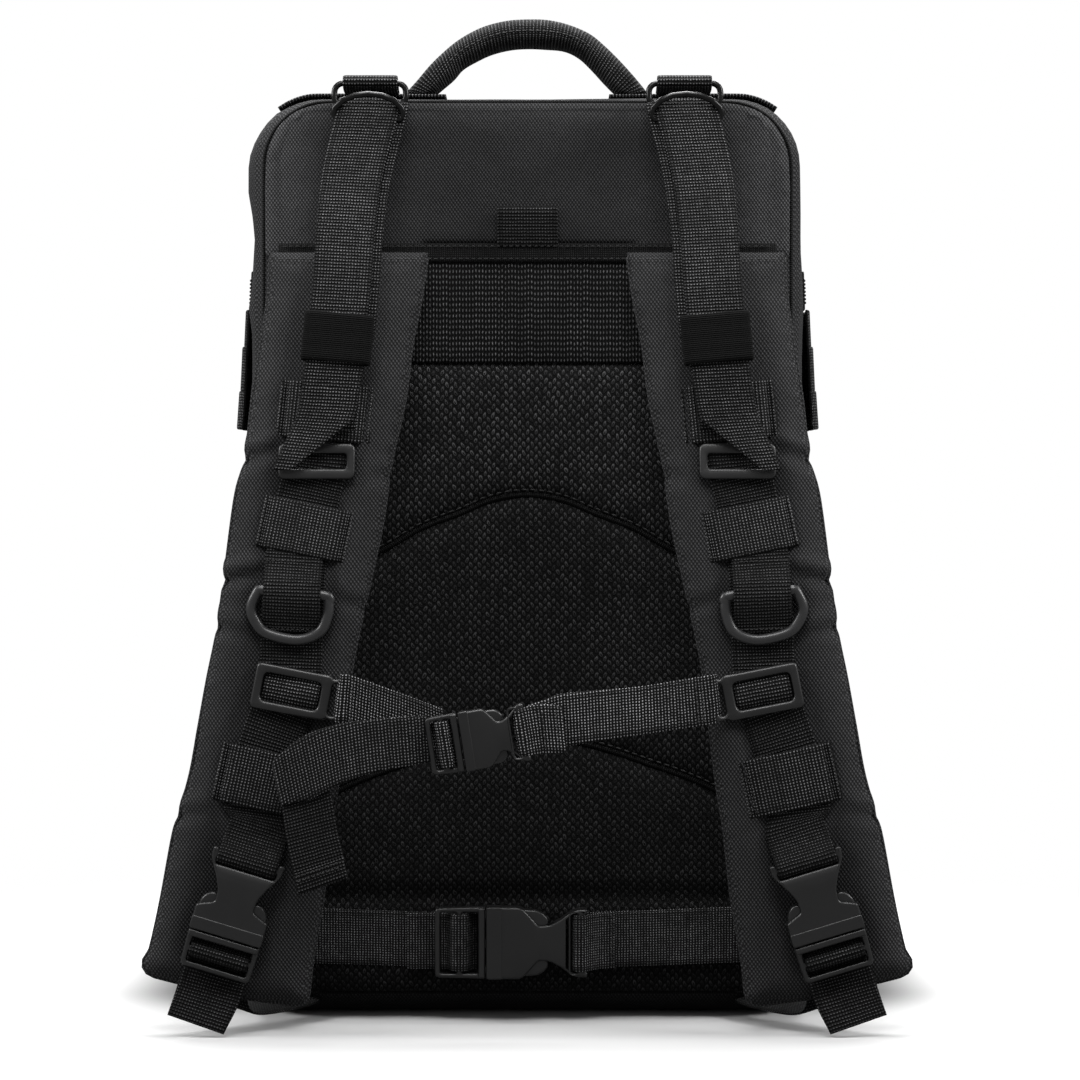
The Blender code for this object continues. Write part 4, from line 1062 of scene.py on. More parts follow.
bp, bf = bag_surface()
bm = bmesh.new()
bv = [bm.verts.new(p) for p in bp]
for f in bf:
    try:
        bm.faces.new([bv[i] for i in f])
    except ValueError:
        pass
for co, no in (((0, SPLIT, 0), (0, 1, 0)), ((0, 0, ZIP_END), (0, 0, 1))):
    bmesh.ops.bisect_plane(bm, geom=bm.verts[:] + bm.edges[:] + bm.faces[:], dist=1e-4, plane_co=co, plane_no=no)
bmesh.ops.recalc_face_normals(bm, faces=bm.faces)
bm.normal_update()
if bm.calc_volume(signed=True) < 0:
    bmesh.ops.reverse_faces(bm, faces=bm.faces)
    bm.normal_update()
for v in bm.verts:
    x, y, z = v.co
    amp = bag_noise((x, y, z))
    edge = max(min(abs(y - SPLIT), 28.0) - 14.0, 0.0) / 14.0 if z > ZIP_END - 5 else 1.0
    low = min(max(z, 0.0), 30.0) / 30.0
    back = min(max(y + 100.0, 0.0), 14.0) / 14.0
    top = min(max(T - z, 0.0), 30.0) / 30.0
    side_bulge = 2.2 * math.sin(math.pi * min(max(z / T, 0), 1)) * (1 if abs(v.normal.x) > 0.5 else 0) * back * (0.3 + 0.7 * edge)
    front_bulge = 3.0 * math.sin(math.pi * min(max(z / T, 0), 1)) * math.cos(math.pi * x / 2 / 160.0) * (1 if v.normal.y > 0.7 else 0)
    rim = 1.0
    if y > 77.0:
        rim = min(max(min(W - 4 - abs(x), T - 3 - z, z - 2.0) - 3.0, 0.0) / 32.0, 1.0)
    elif y > 48.0:
        rim = min(max(75.0 - y, 0.0) / 22.0, 1.0)
    side_bulge *= rim
    front_bulge *= rim
    amp *= rim
    d = (amp * (0.07 + 0.93 * edge ** 1.5) * low * back ** 1.6 * (0.4 + 0.6 * top)) + side_bulge + front_bulge
    if abs(v.normal.x) > 0.5 and d < 0:
        d *= 0.3
    if v.normal.y > 0.7 and y > 77.0:
        d *= min(max(abs(z - ZIP_END) - 4.0, 0.0) / 22.0, 1.0)
        within = min(120.0 - abs(x), z - 138.0, 364.0 - z)
        held = min(max(d, 0.5), 1.8)
        if within > 0:
            d = held * max(1.0 - within / 8.0, 0.0)
        else:
            near = max(1.0 + within / 25.0, 0.0)
            d += (held - d) * near
    v.co += v.normal * d
BAG_FACES = [[v.index for v in f.verts] for f in bm.faces]
bm.verts.index_update()


def bag_part(name, want):
    vs, fs, look = [], [], {}
    for f in bm.faces:
        c = f.calc_center_median()
        if want(c):
            ids = []
            for v in f.verts:
                if v not in look:
                    look[v] = len(vs)
                    vs.append(tuple(v.co * MM))
                ids.append(look[v])
            fs.append(ids)
    o = make(name, vs, fs, [M_BODY, M_LINING])
    s = o.modifiers.new("wall", "SOLIDIFY")
    s.thickness, s.offset, s.material_offset, s.material_offset_rim = 0.0026, -1.0, 1, 0
    s.use_even_offset = True
    return o


is_flap = lambda c: c.y > SPLIT and c.z > ZIP_END
shell = bag_part("packbag", lambda c: not is_flap(c))
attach(shell, "pack")
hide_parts("main_shell")
flap = bag_part("front_panel", is_flap)
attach(flap, "flap")
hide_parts("main_flap")
bm.free()


def outline_path(y, grow, z_min=None, every=1):
    sec = section(*at_y(y), n=10, top=16, side=30)
    C = np.array(sec)
    e = np.roll(C, -1, 0) - np.roll(C, 1, 0)
    e /= np.linalg.norm(e, axis=1)[:, None] + 1e-9
    out = C + np.stack([e[:, 1], -e[:, 0]], 1) * grow
    pts = [(p[0], y, p[1]) for p in out]
    if z_min is None:
        return pts
    k0 = max(range(len(pts)), key=lambda i: (-pts[i][2], pts[i][0]))
    pts = pts[k0:] + pts[:k0]
    return [p for p in pts if p[2] >= z_min]


for nm, y, body, r in (("piping_back", -96.9, "pack", 0.95), ("piping_front", 78.0, "flap", 1.6)):
    path = outline_path(y, 0.2, None if body == "pack" else ZIP_END + 1.0)
    if body == "flap":
        path = sorted(path, key=lambda p: math.atan2(p[0], p[2] - ZIP_END))
    pp = tube(nm, path, r, M_TAPE, 10, closed=(body == "pack"))
    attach(pp, body)

# the main zip: tape and coil on each side of the split
for nm, y0, y1, yc, body in (("zip_back", 29.0, 38.4, 38.6, "pack"), ("zip_front", 42.0, 51.4, 41.8, "flap")):
    base = [p for p in outline_path(SPLIT, 1.5, ZIP_END + 1.5)]
    base = sorted(base, key=lambda p: math.atan2(p[0], p[2] - ZIP_END))
    st = []
    for x, _, z in base:
        st.append(((x, y0, z), (x, y1, z)))
    tp = strap(nm + "_tape", st, M_TAPE, thick=0.9, step=6, across=3, smooth_path=False)
    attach(tp, body)
    co = tube(nm + "_coil", [(p[0] * 0.998, yc, p[2] * 0.999) for p in base], 1.3, M_COIL, 8)
    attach(co, body)

# =====================================================================================================================
# back panel
# =====================================================================================================================
def yoke_turn(x, z):
    """How far the back panel has turned towards the sides and the top, 0 to 1."""
    a = min(max((abs(x) - 114.0) / 32.6, 0.0), 1.0)
    b = min(max((z - 497.0) / 16.2, 0.0), 1.0)
    return min((a ** 3 + 0.45 * b ** 3) ** 0.6, 1.0)


YOKE = [(-146.6, 425), (-59.5, 425), (-58.5, 434), (58.5, 434), (59.5, 425), (146.6, 425), (146.8, 470), (145.4, 487), (139.5, 500.5), (129.0, 509.3), (114.0, 513.2), (-114.0, 513.2), (-129.0, 509.3), (-139.5, 500.5), (-145.4, 487), (-146.8, 470)]


def ripple(x, z, s, a, k=0.0):
    return a * noise.noise(Vector((x * s, z * s, k)))


yoke = pillow("yoke", round_corners(YOKE, 6), lambda x, z, d: -101.4 - 0.9 * dome(d, 5) + 4.4 * yoke_turn(x, z) + ripple(x, z, 0.016, 1.3) * dome(d, 30) + ripple(x, z, 0.045, 0.7, 4) * dome(d, 12),
              lambda x, z, d: -100.3, M_YOKE, step=5.0, rim=1)
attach(yoke, "pack")
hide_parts("yoke_panel")

band = strap("wide_band", [((x, -102.0 - 0.8 * math.cos(x / 90.0), 425.0), (x, -102.0 - 0.8 * math.cos(x / 90.0), 368.4)) for x in np.linspace(-139, 139, 24)],
             M_BAND, thick=1.5, step=3.0, across=10, smooth_path=False, ripple=0.35, seed=2.0)
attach(band, "pack")
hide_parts("back_band")
tape = strap("binding_tape", [((x, -103.6 - 0.8 * math.cos(x / 90.0), 434.6), (x, -103.6 - 0.8 * math.cos(x / 90.0), 424.2)) for x in np.linspace(-139, 139, 24)],
             M_TAPE, thick=1.0, step=3.0, across=4, smooth_path=False)
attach(tape, "pack")
stitches("stitch_tape_top", [(x, -104.4 - 0.8 * math.cos(x / 90.0), 432.9) for x in np.linspace(-137, 137, 40)], (0, -1, 0), "pack")
stitches("stitch_tape_low", [(x, -104.4 - 0.8 * math.cos(x / 90.0), 426.0) for x in np.linspace(-137, 137, 40)], (0, -1, 0), "pack")

ARC1 = [(-138, 232), (-112, 248), (-80, 264), (-60, 275.5), (-38, 284), (-20, 291.5), (0, 294.5), (20, 291.5), (38, 284), (60, 275.5),
        (80, 264), (112, 248), (138, 232)]
ARC2 = [(-138, 112), (-97, 133), (-67, 144), (-45, 151.5), (-22, 157), (0, 159), (22, 157), (45, 151.5), (67, 144), (97, 133), (138, 112)]


def field(name, outline, mat, node, crown, extra=None):
    def front(x, z, d):
        y = -100.9 - crown * dome(d, 26.0) + ripple(x, z, 0.02, 0.8, 9.0) * dome(d, 16)
        return y + (extra(x, z) if extra else 0.0)
    o = pillow(name, outline, front, lambda x, z, d: -100.3, mat, step=4.0, rim=1)
    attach(o, "pack")
    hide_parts(node)
    return o


arc1 = [tuple(p) for p in catmull(ARC1, 5.0)]
arc2 = [tuple(p) for p in catmull(ARC2, 5.0)]
field("mesh_field_upper", [(x, z + 1.0) for x, z in arc1] + [(138, 367.8), (-138, 367.8)], M_MESH_UP, "back_pad_upper", 5.2)
field("mesh_field_middle", [(x, z + 1.0) for x, z in arc2] + [(x, z - 1.2) for x, z in arc1[::-1]], M_MESH_MID, "back_pad_middle", 5.6)
field("mesh_field_lower", [(-120, 15.6), (120, 15.6), (132, 28)] + [(x, z - 1.2) for x, z in arc2[::-1]] + [(-132, 28)], M_MESH_LOW, "back_pad_lower", 5.4,
      lambda x, z: 3.4 * math.exp(-((z - 70.5) / 4.2) ** 2))
for k, arc in (("upper", arc1), ("lower", arc2)):
    seam = tube("seam_" + k, [(x, -101.6, z) for x, z in arc], 1.25, M_TAPE, 8)
    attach(seam, "pack")
    stitches("stitch_arc_" + k, [(x, -103.4, z + 2.6) for x, z in arc], (0, -1, 0.4), "pack", length=3.2, gap=1.6, r=0.45)

hang = strap("hang_loop_web", [((-16.8, y, z), (16.8, y, z)) for y, z in ((-103.0, 434.5), (-103.1, 442), (-103.2, 450), (-103.8, 453.8), (-105.2, 454.6), (-106.3, 452.5), (-106.2, 446), (-105.6, 437), (-105.0, 433.0))],
             M_WEB_LOW, thick=1.4, step=1.5)
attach(hang, "pack")
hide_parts("hang_loop")

# webbing rows on both sides
for s, sg in (("left", -1), ("right", 1)):
    for k, (lo, hi, out, tilt) in enumerate(((331.5, 353.3, 8.4, 1.2), (352.9, 378.5, 6.6, 0.9), (378.1, 399.3, 4.6, 0.7), (398.9, 421.0, 0.9, 0.4))):
        st = []
        for y in np.linspace(-72, 22, 26):
            ph = (y + 72) / 94 * 3
            bulge = 1.6 * abs(math.sin(math.pi * ph))
            x = W + 2.4 + (out - 1.5) * (0.55 + 0.45 * min(1.0, abs(math.sin(math.pi * ph)) * 2)) + bulge * 0.4
            st.append(((sg * (x - 0.3), y, hi), (sg * (x + tilt), y, lo)))
        r = strap(f"side_row_{s}_{k}", st, M_MOLLE, thick=1.5, step=3, across=6, smooth_path=False)
        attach(r, "pack")
        for ph in range(4):
            y = -72 + 94 / 3 * ph
            yy = min(max(y, -70.5), 20.5)
            xx = W + 2.4 + (out - 1.5) * 0.55 + 0.45
            stitches(f"side_bar_{s}_{k}_{ph}", [(sg * (xx + 0.6), yy, lo + 3), (sg * xx, yy, hi - 3)], (sg, 0, 0), "pack", length=1.6, gap=0.5, r=0.45)
    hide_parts(f"side_webbing_{s}")

# =====================================================================================================================
# top: strips, rings, handle
# =====================================================================================================================
for s, sg in (("left", 1), ("right", -1)):
    path = [(-46.0, T + 1.8), (-70.0, T + 2.0), (-95.0, T + 2.2), (-116.5, T + 2.2)]
    for k in range(1, 5):
        t = math.radians(90 + 9.0 * k)
        path.append((-W + 38 + (38 + 2.4) * math.cos(t), T - 38 + (38 + 2.4) * math.sin(t)))
    strip = strap(f"top_strip_{s}", [((sg * x, -87.0, z), (sg * x, -54.0, z)) for x, z in path], M_WEB, thick=2.2, step=2.2)
    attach(strip, "pack")
    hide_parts(f"ring_anchor_{s}")
    loop = strap(f"ring_loop_{s}", [((sg * -102.6, y, z), (sg * -72.4, y, z)) for y, z in
                                    ((-80.0, 519.6), (-88.0, 519.9), (-98.0, 519.7), (-105.0, 520.2), (-109.8, 521.6), (-110.9, 524.2), (-108.6, 526.7), (-103.0, 527.2), (-95.0, 525.2), (-86.0, 522.4), (-79.0, 521.4))],
                 M_WEB, thick=1.4, step=1.8)
    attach(loop, "pack")
    for yy in (-82.0, -89.0):
        stitches(f"stitch_ring_{s}_{int(-yy)}", [(sg * -101.0, yy, 522.6 + (0.6 if yy < -85 else 0)), (sg * -74.0, yy, 522.6 + (0.6 if yy < -85 else 0))], (0, -0.2, 1), "pack", length=1.6, gap=0.7)
    c = 5.0
    x0, x1, z0, z1 = -107.4, -67.6, 511.0, 523.4
    rp = []
    for cx, cz, a0 in ((x1 - c, z1 - c, 90), (x1 - c, z0 + c, 0), (x0 + c, z0 + c, -90), (x0 + c, z1 - c, -180)):
        rp += [(cx + c * math.cos(math.radians(a0 - 18 * k)), cz + c * math.sin(math.radians(a0 - 18 * k))) for k in range(6)]
    ring = tube(f"wire_ring_{s}", [(sg * a, -107.0 + (b - z1) * 0.16, b) for a, b in rp], 1.7, M_WIRE, 12, closed=True)
    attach(ring, "pack")
    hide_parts(f"upper_ring_{s}")
    dp = [(-106.5, 502.5), (-107.6, 505.2), (-106.6, 508.6), (-102.0, 512.6), (-95.5, 515.2), (-88.0, 516.0), (-80.5, 515.2), (-74.0, 512.6), (-69.8, 508.6), (-68.8, 505.2), (-70.0, 502.5)]
    ring2 = tube(f"cinch_ring_{s}_wire", [(sg * a, -118.6 + (516.0 - b) * 0.22, b) for a, b in dp], 1.7, M_WIRE, 12, closed=True)
    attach(ring2, f"cinch_ring_{s}")
    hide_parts(f"lower_ring_{s}")

HANDLE_TOP = [(-69.0, T + 4.2), (-62.0, 529.0), (-55.0, 537.5), (-47.5, 545.0), (-41.0, 550.5), (-33.0, 555.5), (-24.0, 559.5), (-12.0, 562.5),
              (0.0, 563.3), (12.0, 562.9), (24.0, 560.0), (35.5, 555.0), (44.0, 548.0), (52.0, 540.0), (60.5, 530.5), (68.0, T + 4.2)]
HANDLE_LOW = [(-58.0, T + 2.5), (-52.0, 521.5), (-47.5, 525.0), (-41.5, 530.0), (-36.5, 535.5), (-29.0, 540.0), (-20.5, 544.0), (-10.0, 546.6),
              (0.0, 547.4), (10.0, 547.0), (20.5, 546.0), (29.0, 542.0), (36.5, 535.0), (43.5, 527.5), (50.5, 521.0), (57.0, T + 2.5)]


def handle_piece():
    A = catmull([list(a) + list(b) for a, b in zip(HANDLE_TOP, HANDLE_LOW)], 2.6)
    n = len(A)
    arc = np.concatenate([[0], np.cumsum(np.linalg.norm(np.diff((A[:, :2] + A[:, 2:]) / 2, axis=0), axis=1))])
    m = 28
    pts, uvs, faces = [], [], []
    for i in range(n):
        t = np.array([A[i, 0], A[i, 1]])
        l = np.array([A[i, 2], A[i, 3]])
        mid, half = (t + l) / 2, (t - l) / 2
        f = i / (n - 1)
        endw = max(0.0, 1 - min(f, 1 - f) / 0.22)
        depth = 15.5 - 2.0 * endw
        grip = 1.0 - endw
        p = 2.6 + 1.6 * endw
        for k in range(m):
            a = TAU * k / m
            ca, sa = math.cos(a), math.sin(a)
            rc = math.copysign(abs(ca) ** (2 / p), ca)
            rs = math.copysign(abs(sa) ** (2 / p), sa)
            wob = 1.0 + 0.02 * noise.noise(Vector((arc[i] * 0.05, ca * 1.2, sa * 1.2)))
            q = mid + half * rc * wob
            pts.append((q[0] * MM, (-72.0 + depth * rs * wob) * MM, q[1] * MM))
            uvs.append((k / m * 0.085, arc[i] * MM))
    for i in range(n - 1):
        for k in range(m):
            l = (k + 1) % m
            faces.append((i * m + k, i * m + l, (i + 1) * m + l, (i + 1) * m + k))
    faces.append(tuple(range(m))[::-1])
    faces.append(tuple((n - 1) * m + k for k in range(m)))
    return make("carry_handle_web", pts, faces, M_HANDLE, uvs)


hd = handle_piece()
fix(hd)
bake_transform(hd)
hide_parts("carry_handle")
hs = catmull([((a[0] + b[0]) / 2, -72.0 - 15.4, (a[1] + b[1]) / 2 + 0.0) for a, b in list(zip(HANDLE_TOP, HANDLE_LOW))[3:13]], 2.0)
stitches("stitch_handle", [tuple(p) for p in hs], (0, -1, 0), "handle", length=2.4, gap=1.4, r=0.4, straight=False)

# =====================================================================================================================
# shoulder straps
# =====================================================================================================================
PAD_OUTLINE = [(-142.9, 428.9), (-143.5, 405.8), (-147.3, 374.6), (-151.1, 346.9), (-154.4, 314.4), (-159.5, 293.7), (-164.5, 252.9),
               (-168.5, 221.5), (-173.8, 194.5), (-178.5, 168.0), (-182.8, 144.2), (-187.8, 125.9), (-192.5, 110.2), (-199.1, 75.9),
               (-204.7, 50.8), (-208.6, 37.5), (-193.0, 28.5), (-153.0, 19.0), (-120.3, 14.9), (-116.9, 42.0), (-111.3, 74.8),
               (-106.9, 112.9), (-102.6, 139.9), (-96.2, 193.9), (-92.5, 215.6), (-87.7, 237.2), (-83.0, 258.9), (-78.7, 280.6),
               (-74.1, 313.3), (-67.2, 346.3), (-63.6, 376.8), (-58.9, 401.9), (-55.2, 428.9)]
STRAP_LINE = [(-110.5, 350.0), (-114.4, 324.3), (-115.9, 307.9), (-119.5, 292.0), (-125.7, 258.9), (-127.6, 226.5), (-128.1, 204.9),
              (-129.8, 186.0), (-138.2, 161.8), (-145.7, 134.8), (-149.6, 107.8), (-151.5, 94.0)]
STRAP_W = 35.5
KEEPERS = {"upper": (-110.4, 339.8, 51.5, 31.5, -5.2), "mid": (-121.0, 275.7, 49.0, 28.0, -11.5), "lower": (-142.5, 139.7, 51.5, 32.0, -12.5)}
DRING_PATH = [(-145.5, 242.9), (-149.4, 234.0), (-147.6, 226.5), (-141.0, 219.5), (-124.4, 215.9), (-112.6, 219.8), (-108.2, 228.3),
              (-107.5, 236.0), (-110.0, 239.6)]
SIDE_MOUTH, SIDE_DIR = (-163.4, 55.1), (0.295, 0.9555)
HIP_MOUTH, HIP_Y = (-23.1, 45.0), -114.3
STERNUM_MOUTH, STERNUM_DIR = (-35.3, 161.4), (0.988, 0.1547)
STERNUM_Y = line_y(161.4) - 10.0
LIFT = [(-105.4, -70.6, 508.6, -113.4), (-112.4, -79.4, 473.0, -124.5), (-115.6, -83.6, 440.0, -134.0), (-117.2, -85.4, 408.0, -141.2),
        (-119.6, -88.4, 380.0, -145.8), (-121.4, -90.0, 362.0, -147.8), (-124.6, -93.4, 340.0, -149.6)]
# where the filling puckers along the outer edge: (x, z, depth of the nick, length of the fold, its slope)
PUCKERS = [(-154.6, 313.5, 2.2, 26, 0.30), (-165.3, 247.5, 2.6, 34, 0.22), (-168.6, 222.5, 1.6, 20, -0.25), (-189.6, 119.5, 1.4, 18, 0.2)]
INNER_PUCKERS = [(-88.6, 233.0, 1.2, 16, 0.3), (-75.0, 305.0, 1.0, 14, -0.2)]


def smoothstep(v, a, b):
    t = min(max((v - a) / (b - a), 0.0), 1.0)
    return t * t * (3 - 2 * t)


_sl = np.array([(-99.0, 440.0), (-105.0, 385.0)] + STRAP_LINE + [(-160.0, 66.0), (-166.0, 46.0)], float)


def strap_distance(x, z):
    best = 1e9
    q = np.array([x, z])
    for a, b in zip(_sl[:-1], _sl[1:]):
        d = b - a
        t = min(max(float((q - a) @ d) / float(d @ d), 0), 1)
        best = min(best, float(np.linalg.norm(q - a - t * d)))
    return best


def pad_outline():
    P = resample(catmull(PAD_OUTLINE[:16], 3.0), 3.0, closed=False).tolist()
    P = P[:-3]
    P += [(-209.4, 40.6), (-209.6, 36.6), (-207.6, 33.4), (-203.4, 31.2)]
    P += [tuple(p) for p in PAD_OUTLINE[16:18]]
    P += [(-127.5, 15.7), (-123.4, 15.9), (-120.4, 18.2), (-119.2, 22.0)]
    P += resample(catmull([(-118.6, 28.0)] + PAD_OUTLINE[19:], 3.0), 3.0, closed=False).tolist()
    out = []
    for x, z in P:
        for px, pz, dep, ln, sl in PUCKERS:
            if abs(z - pz) < 12 and x < -130:
                x += dep * 0.62 * math.exp(-((z - pz) / 3.0) ** 2) - dep * 0.25 * math.exp(-((z - pz - 8) / 4.5) ** 2)
        for px, pz, dep, ln, sl in INNER_PUCKERS:
            if abs(z - pz) < 12 and x > -110:
                x -= dep * math.exp(-((z - pz) / 2.6) ** 2)
        out.append((x, z))
    return out


def pad_front(x, z, d):
    y = line_y(z)
    e = 1 - dome(d, 10.0)
    sd = strap_distance(x, z)
    swell = 2.3 * smoothstep(sd, 17.0, 27.0) * smoothstep(d, 0.0, 14.0) - 0.2 * (1 - smoothstep(sd, 17.0, 20.0))
    hem = 0.9 * math.exp(-((d - 4.0) / 1.3) ** 2)
    pk = 0.0
    for lst, sg in ((PUCKERS, 1), (INNER_PUCKERS, -1)):
        for px, pz, dep, ln, sl in lst:
            u = (x - px) * sg
            if -3 < u < ln * 1.4:
                c = (z - pz) - sl * u
                fade = (1 - smoothstep(u, ln * 0.35, ln * 1.4))
                pk += fade * dep * (0.80 * math.exp(-(c / 2.8) ** 2) - 0.75 * math.exp(-((c - 6.5) / 4.0) ** 2) - 0.3 * math.exp(-((c + 7.0) / 4.5) ** 2))
    w = 0.9 * noise.noise(Vector((x * 0.03, z * 0.022, 3.0))) + 0.45 * noise.noise(Vector((x * 0.09, z * 0.06, 8.0)))
    w *= smoothstep(sd, 16.0, 24.0)
    return y + 4.4 * e - swell + hem + pk - w


def pad_back(x, z, d):
    return line_y(z) + 10.0 - 4.4 * (1 - dome(d, 10.0)) + 0.8 * noise.noise(Vector((x * 0.03, z * 0.03, 11.0)))


def mir(st, sg):
    return st if sg > 0 else [((-l[0], l[1], l[2]), (-r[0], r[1], r[2])) for l, r in st[::-1]]


def mirror_object(o):
    o.data.transform(Matrix.Scale(-1, 4, (1, 0, 0)))
    o.data.flip_normals()


def on_pad(line, width, lifts, thick=1.6):
    """Stations along an (x, z) line on the pad; lifts gives the height of the webbing's middle in front of the pad line at each z."""
    L = catmull(line, 3.0)
    T_ = np.gradient(L, axis=0)
    T_ /= np.linalg.norm(T_, axis=1)[:, None]
    zs = [p[0] for p in lifts]
    ls = [p[1] for p in lifts]
    st = []
    for (x, z), (tx, tz) in zip(L, T_):
        wx, wz = -tz, tx
        lift = float(np.interp(z, zs, ls))
        a, b = (x - wx * width / 2, z - wz * width / 2), (x + wx * width / 2, z + wz * width / 2)
        st.append(((a[0], line_y(a[1]) - lift, a[1]), (b[0], line_y(b[1]) - lift, b[1])))
    return st


def pad_plate(outline_, lift, thick, holes=(), b=0.9, corner=2.5, hole_corner=1.6):
    s = plate(outline_, lift, lift + thick, holes, b=b, corner=corner, hole_corner=hole_corner)
    return s


def cut(o, co, no):
    """Everything of o on the side no points to is taken away and the cut closed; mm."""
    bm = bmesh.new()
    bm.from_mesh(o.data)
    bmesh.ops.bisect_plane(bm, geom=bm.verts[:] + bm.edges[:] + bm.faces[:], dist=1e-7, plane_co=[c * MM for c in co], plane_no=no, clear_outer=True)
    edges = [e for e in bm.edges if len(e.link_faces) == 1]
    bmesh.ops.holes_fill(bm, edges=edges, sides=0)
    bm.to_mesh(o.data)
    bm.free()


def flag(o, body, slot_, *nodes):
    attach(o, body)
    if nodes:
        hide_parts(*nodes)
    return o


def bend(o, s, slot_, start, end, *nodes):
    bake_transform(o)
    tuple(start)
    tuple(end)
    if nodes:
        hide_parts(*nodes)
    return o


def box_stitch(name, corners, out, body, cross=True):
    a, b, c, d = [np.array(p, float) for p in corners]
    runs = [(a, b), (b, c), (c, d), (d, a)] + ([(a, c), (b, d)] if cross else [])
    for k, (p, q) in enumerate(runs):
        stitches(f"{name}_{k}", [tuple(p), tuple(q)], out, body, length=2.0, gap=0.9, r=0.34)


for s, sg in (("left", 1), ("right", -1)):
    STRAP = f"strap_{s}"
    X = lambda x: sg * x
    P0, P1 = (X(-0.099), -0.1085, 0.436), (X(-0.104), -0.1285, 0.392)

    # the pad
    out_line = pad_outline()
    pad = pillow(f"shoulder_pad_{s}_cloth", out_line, pad_front, pad_back, M_PAD, step=2.6, grid=3.2)
    if sg < 0:
        mirror_object(pad)
    bend(pad, s, "cordura", P0, P1, f"shoulder_pad_{s}")
    rim = [(X(x), line_y(z) + 5.0, z) for x, z in out_line]
    edge = tube(f"pad_edge_{s}", rim[1:-1], 0.95, M_PAD, 8)
    bend(edge, s, "cordura", P0, P1)
    hem = [(X(x), line_y(z) - 0.7, z) for x, z in [(-138.5, 424.6), (-120, 424.6), (-100, 424.6), (-80, 424.6), (-59.5, 424.6)]]
    stitches(f"stitch_pad_top_{s}", hem, (0, -1, 0.2), "pack", length=2.8, gap=1.3, r=0.4)

    # webbing down the middle
    lifts = [(60, 1.1), (94, 11.6), (98, 11.2), (104, 6.6), (110, 2.6), (118, 1.25), (160, 1.15), (200, 1.1), (216, 0.65), (246, 0.65), (256, 1.15), (300, 1.3), (306, 3.0), (320, 3.2), (327, 1.4), (352, 1.2)]
    at = local(SIDE_MOUTH[0], SIDE_MOUTH[1], *SIDE_DIR)
    st = on_pad([p for p in STRAP_LINE[:-2]] + [(-147.6, 122.0)], 33.6, lifts)
    for u, lift in ((63.0, 1.7), (57.5, 2.6), (52.5, 5.0), (48.5, 8.2), (45.4, 10.6), (42.8, 11.7), (40.6, 11.6), (39.0, 10.2), (38.3, 8.0), (38.2, 5.2), (39.6, 3.4)):
        a, b = at(u, 16.4), at(u, -16.4)
        st.append(((a[0], line_y(a[1]) - lift, a[1]), (b[0], line_y(b[1]) - lift, b[1])))
    web = strap(f"strap_web_{s}", mir(st, sg), M_WEB_LOW, thick=1.5, step=1.6, across=8, ripple=0.22, seed=sg * 2.0)
    flag(web, STRAP, "webbing", f"strap_webbing_{s}")

    # keepers
    for k, (cx, cz, w, h, tilt) in KEEPERS.items():
        at = local(cx, cz, math.cos(math.radians(tilt)), math.sin(math.radians(tilt)))
        half, leg = w / 2, 20.6
        prof = [(-half, 1.5), (-half + 1.4, 1.7), (-half + 2.6, 1.0), (-leg - 1.4, 1.0), (-leg + 0.8, 2.3), (-leg + 3.2, 3.2), (-8, 3.5), (0, 3.6), (8, 3.5),
                (leg - 3.2, 3.2), (leg - 0.8, 2.3), (leg + 1.4, 1.0), (half - 2.6, 1.0), (half - 1.4, 1.7), (half, 1.5)]
        st = []
        for a, lf in prof:
            lo, hi = at(a, -h / 2), at(a, h / 2)
            st.append(((lo[0], line_y(lo[1]) - lf, lo[1]), (hi[0], line_y(hi[1]) - lf, hi[1])))
        kp = strap(f"keeper_{k}_{s}_web", mir(st, sg), M_WEB_KEEPER, thick=1.35, step=1.3, across=8)
        flag(kp, STRAP, "webbing", f"keeper_{k}_{s}")
        for e in (-1, 1):
            for off, lf in ((1.0, 2.4), (4.6, 1.9)):
                aa = e * (half - off)
                p, q = at(aa, -h / 2 + 1.5), at(aa, h / 2 - 1.5)
                stitches(f"stitch_keeper_{k}_{s}_{e > 0:d}{off:.0f}", [(X(p[0]), line_y(p[1]) - lf, p[1]), (X(q[0]), line_y(q[1]) - lf, q[1])], (0, -1, 0), STRAP, length=1.9, gap=0.8, r=0.34)

    # adjuster under the load-lifter strap
    tri = pad_plate([(-135.6, 303.0), (-93.8, 303.0), (-93.8, 322.4), (-135.6, 322.4)], 2.2, 3.6, [[(-131.0, 308.6), (-98.4, 308.6), (-98.4, 316.9), (-131.0, 316.9)]], b=1.1, corner=4.0)
    moulded_piece(f"adjuster_{s}", tri, lambda u, v, w: (X(u), line_y(v) - w, v), M_PLASTIC, STRAP, f"triglide_{s}")

    # ring of the sewn loop
    dr = [(X(x), line_y(z) - 5.0, z) for x, z in DRING_PATH]
    ring = tube(f"d_ring_{s}_moulded", dr, 2.9, M_RING, 14, closed=True, squash=0.78, step=1.6)
    flag(ring, f"d_ring_{s}", "buckle_plastic", f"d_ring_{s}")
    st = on_pad([(-126.0, 264.5), (-126.9, 250.0), (-127.3, 238.0), (-127.9, 226.0), (-128.2, 219.5)], 31.0,
                [(219.0, 2.7), (222, 3.1), (230.0, 6.4), (236.0, 8.6), (241.0, 9.1), (246.5, 8.3), (254.0, 4.6), (260.0, 2.9), (265, 2.6)])
    o = strap(f"ring_tab_{s}", mir(st, sg), M_WEB_LOW, thick=1.3, step=1.6, across=8, v0=40, crown=0.25)
    flag(o, STRAP, "webbing")
    for zz in (221.5, 258.5):
        lf = 3.9 if zz < 240 else 4.1
        stitches(f"stitch_tab_{s}_{int(zz)}", [(X(-142.0), line_y(zz) - lf, zz + 0.4), (X(-113.5), line_y(zz) - lf, zz - 0.4)], (0, -1, 0), STRAP, length=1.9, gap=0.8, r=0.34)

